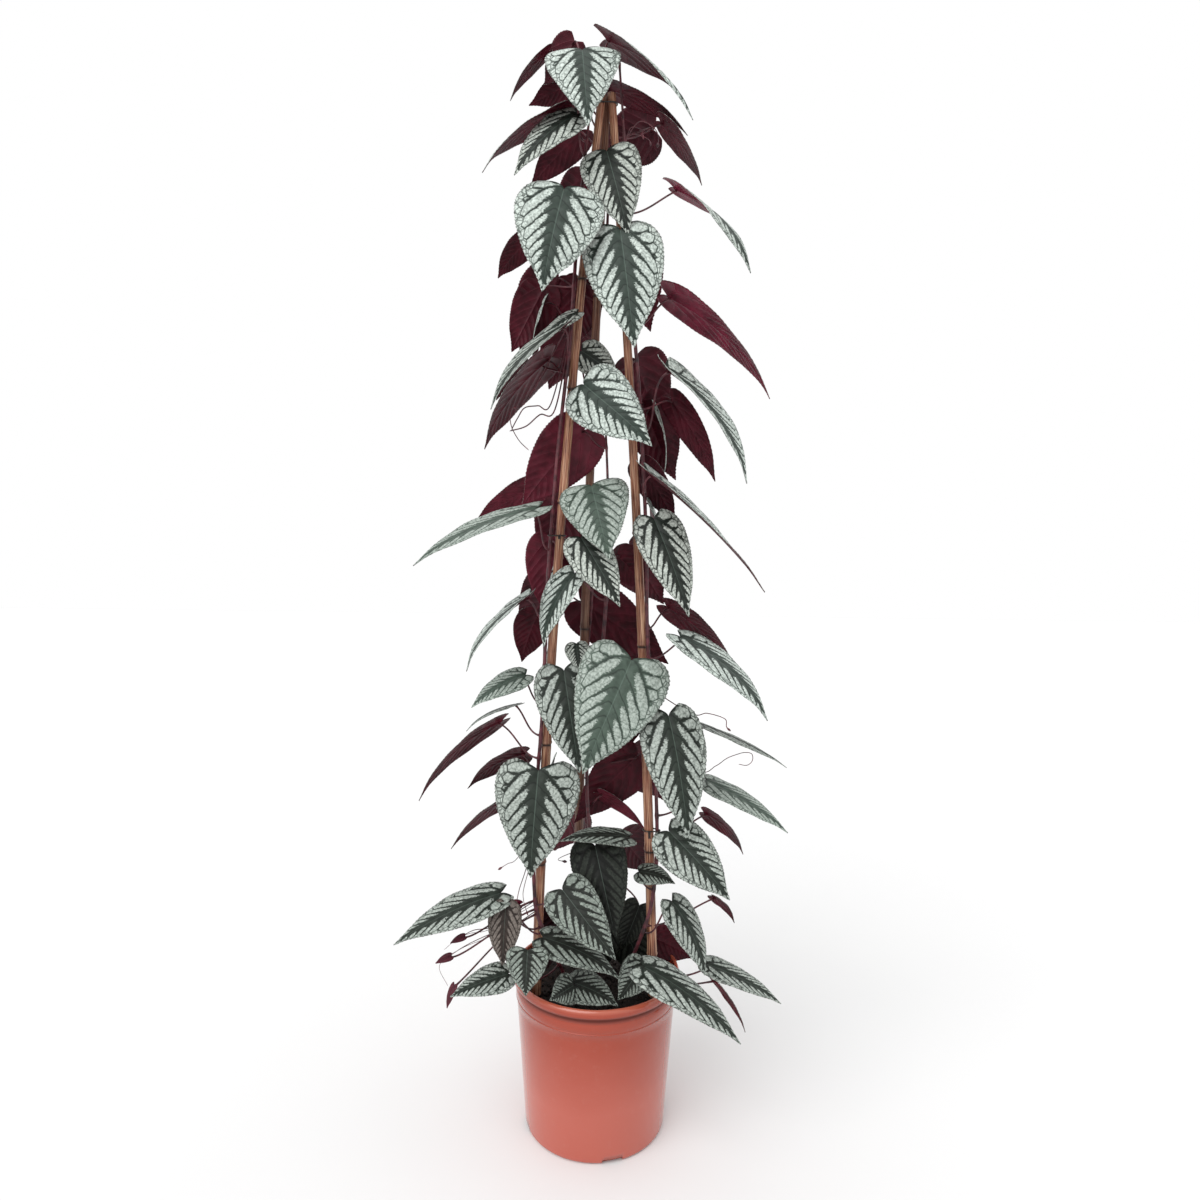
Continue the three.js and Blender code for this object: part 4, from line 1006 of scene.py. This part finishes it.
# shoot, height of its foot, radius, how much the bud at its end swells, and the places that it goes through
TENDRILS = [
    ("left", 976, 1, 0, [(-56, -22, 888), (-73, -28, 881), (-89, -32, 867), (-108, -34, 861)]),
    ("left", 982, 0.9, 0, [
        (-61, -18, 895), (-76, -22, 892), (-91, -25, 889), (-99, -27, 877), (-106, -30, 863),
    ]),
    ("left", 992, 0.7, 0, [
        (-89, -20, 899), (-106, -24, 888), (-107, -27, 870), (-98, -28, 852), (-86, -26, 840),
    ]),
    ("right", 560, 0.7, 0.9, [
        (109, -40, 533), (127, -46, 535), (147, -52, 530), (149, -54, 521), (154, -55, 516),
    ]),
    ("right", 486, 0.6, 0, [
        (121, -30, 460), (140, -36, 469), (152, -42, 480), (163, -46, 486), (172, -48, 489), (180, -50, 488),
        (181, -50, 480), (175, -49, 474), (165, -48, 475),
    ]),
    ("left", 300, 0.6, 1.6, [(-101, -50, 288), (-125, -66, 280), (-144, -76, 281), (-162, -80, 272)]),
    ("left", 296, 0.35, 0, [(-125, -66, 278), (-149, -76, 277), (-166, -80, 269), (-177, -82, 260)]),
    ("left", 288, 0.6, 1.8, [(-101, -50, 274), (-125, -66, 272), (-153, -80, 264), (-179, -86, 248)]),
    ("left", 284, 0.35, 0, [(-125, -66, 269), (-157, -80, 261), (-181, -88, 245), (-171, -90, 220)]),
    ("left", 372, 0.6, 0.8, [(-86, -46, 341), (-93, -50, 319), (-97, -54, 298)]),
    ("left", 356, 0.5, 0.8, [(-87, -46, 323), (-88, -50, 308), (-82, -54, 289)]),
    ("left", 378, 0.5, 1.2, [(-97, -46, 355), (-107, -50, 351), (-118, -54, 345)]),
    ("middle", 372, 0.5, 1.5, [(-44, -44, 371), (-52, -50, 368)]),
    ("middle", 364, 0.5, 1.5, [(-46, -44, 356), (-36, -50, 354)]),
    ("right", 1196, 0.6, 1.8, [(38, -6, 1218), (55, -10, 1209), (60, -12, 1198), (59, -12, 1187)]),
    ("right", 1190, 0.5, 0.9, [(28, -8, 1210), (40, -12, 1206), (43, -13, 1195)]),
    ("right", 1186, 0.5, 1, [(26, -8, 1203), (47, -12, 1197), (52, -13, 1188)]),
]
for k, (shoot, foot_z, radius, bud, places) in enumerate(TENDRILS):
    route = np.concatenate([shoot_route(shoot, foot_z)[None], np.array(places, float)])
    route = through(route, TENDRIL_STEPS)
    steps = np.linalg.norm(np.diff(route, axis=0), axis=1)
    to_end = np.append(np.cumsum(steps[::-1])[::-1], 0)
    thick = radius * (0.7 + 0.3 * to_end / to_end[0])
    thick = thick + bud * hump(to_end - BUD_LENGTH * 0.6, BUD_LENGTH * 0.45)
    thick = thick * smooth(to_end / 1.5 + 0.25)
    rings = tube(route, thick, TENDRIL_SIDES, beside=(0.1, 0.97, 0.2))
    name = f"tendril_{k + 1:02d}"
    made = make_piece(name, rings.reshape(-1, 3), grid_faces(*rings.shape[:2]), [stem_skin])
    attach(made, "root")

# Ties: dark plastic-coated garden wire, 1.8 mm thick, drawn tight and twisted at its ends.
# One holds the three cane tops together and the others hold a shoot to its cane.
WIRE_R = 0.9
WIRE_GAP = 0.3
TIE_SIDES = 8
TIE_STEPS = 72
TWIST_FROM = 54
TWIST_LENGTH = 13
TWIST_TURNS = 2.6
TWIST_R = 0.9
TWIST_SIDES = 7
TIE_TOP_Z = 1238
TIES = {"left": 741, "right": 386, "back": 560}
# Its plastic coat is nearly black and satin, and rubbed paler in places.
tie_plastic, shader, add = new_material("plastic_coated_wire", Roughness=0.45)
here = add("TexCoord", output="Object")
rubs = add("TexNoise", {"Vector": here, "Scale": 500.0, "Detail": 3.0})
rubbed = add("MapRange", [rubs, 0.4, 0.7])
coat_colours = {"Factor": rubbed, "A": linear("#241D1A"), "B": linear("#40352F")}
fill_inputs(shader, {"Base Color": add("Mix", coat_colours, "Result", data_type="RGBA")})


def round_circles(circles, z):
    """A closed path drawn tight round circles (x, y, r): at each direction n, the circle reaching furthest
    along n, plus (r + gap) n."""
    a = np.linspace(0, 2 * math.pi, TIE_STEPS + 1)
    n = np.stack([np.cos(a), np.sin(a)], -1)
    circles = np.asarray(circles, float)
    reach = n @ circles[:, :2].T + circles[:, 2]
    chosen = circles[reach.argmax(1)]
    place = chosen[:, :2] + n * (chosen[:, 2:] + WIRE_GAP + WIRE_R)
    return np.concatenate([place, z + 0 * a[:, None]], 1)


def tie_shapes(circles, z):
    """The ring of a tie and its two ends, twisted together: a helix of TWIST_R that sags by 3 t^2."""
    loop = round_circles(circles, z)
    forward = unit(np.gradient(loop, axis=0))
    beside = np.cross(forward, (0, 0, 1))
    w = np.linspace(0, 2 * math.pi, TIE_SIDES + 1)[:, None]
    shapes = [loop[:, None] + WIRE_R * (beside[:, None] * np.cos(w) + np.array([0, 0, -1.0]) * np.sin(w))]
    start = loop[TWIST_FROM] + (0, -0.4, 0)
    t = np.linspace(0, 1, 26)
    for phase in (0, math.pi):
        turn = 2 * math.pi * TWIST_TURNS * t + phase
        helix = [TWIST_R * np.cos(turn), -TWIST_LENGTH * t, TWIST_R * np.sin(turn) - 3 * t * t]
        shapes.append(tube(start + np.stack(helix, -1), WIRE_R * 0.85, TWIST_SIDES))
    return shapes


cane_tops = [(*cane_centre(name, TIE_TOP_Z), cane_radius(TIE_TOP_Z)) for name in CANES]
tie_list = {"top": (cane_tops, TIE_TOP_Z)}
for name, z in TIES.items():
    tie_list[name] = ([(*cane_centre(name, z), cane_radius(z)), (*shoot_route(name, z)[:2], STEM_R)], z)
for name, (circles, z) in tie_list.items():
    points, faces, start = [], [], 0
    for shape in tie_shapes(circles, z):
        points.append(shape.reshape(-1, 3))
        faces.append(grid_faces(*shape.shape[:2]) + start)
        start += shape.size // 3
    made = make_piece(f"wire_{name}", np.concatenate(points), np.concatenate(faces), [tie_plastic])
    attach(made, "root")
    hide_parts(f"tie_{name}")

# Floor: a plain pale sheet that the pot stands on, painted matt and very slightly cloudy.
FLOOR_HALF = 6000
floor_paint, shader, add = new_material("pale_floor", Roughness=0.8, Specular_IOR_Level=0.1)
here = add("TexCoord", output="Object")
clouds = add("TexNoise", {"Vector": here, "Scale": 3.0})
floor_colours = {"Factor": clouds, "A": linear("#E2E2E2"), "B": linear("#E4E4E4")}
fill_inputs(shader, {"Base Color": add("Mix", floor_colours, "Result", data_type="RGBA")})
floor_corners = FLOOR_HALF * np.array([(-1, -1, 0), (1, -1, 0), (-1, 1, 0), (1, 1, 0)], float)
floor = make_piece("floor", floor_corners, grid_faces(2, 2), [floor_paint])

# Light: a white surround as bright as the floor looks, and one broad soft light from above the left shoulder.
KEY_ENERGY = 1.6
KEY_ANGLE = 50
KEY_DIRECTION = (0.5, 0.75, -0.9)
world = bpy.data.worlds.new("white_surround")
world.use_nodes = True
world.node_tree.nodes["Background"].inputs["Color"].default_value = (1, 1, 1, 1)
world.node_tree.nodes["Background"].inputs["Strength"].default_value = 1.0
bpy.context.scene.world = world
bpy.context.scene.view_settings.view_transform = "Standard"
key = bpy.data.lights.new("key", "SUN")
key.energy = KEY_ENERGY
key.angle = math.radians(KEY_ANGLE)
key_object = bpy.data.objects.new("key", key)
key_object.rotation_euler = Vector(KEY_DIRECTION).to_track_quat("-Z", "Y").to_euler()
bpy.context.collection.objects.link(key_object)
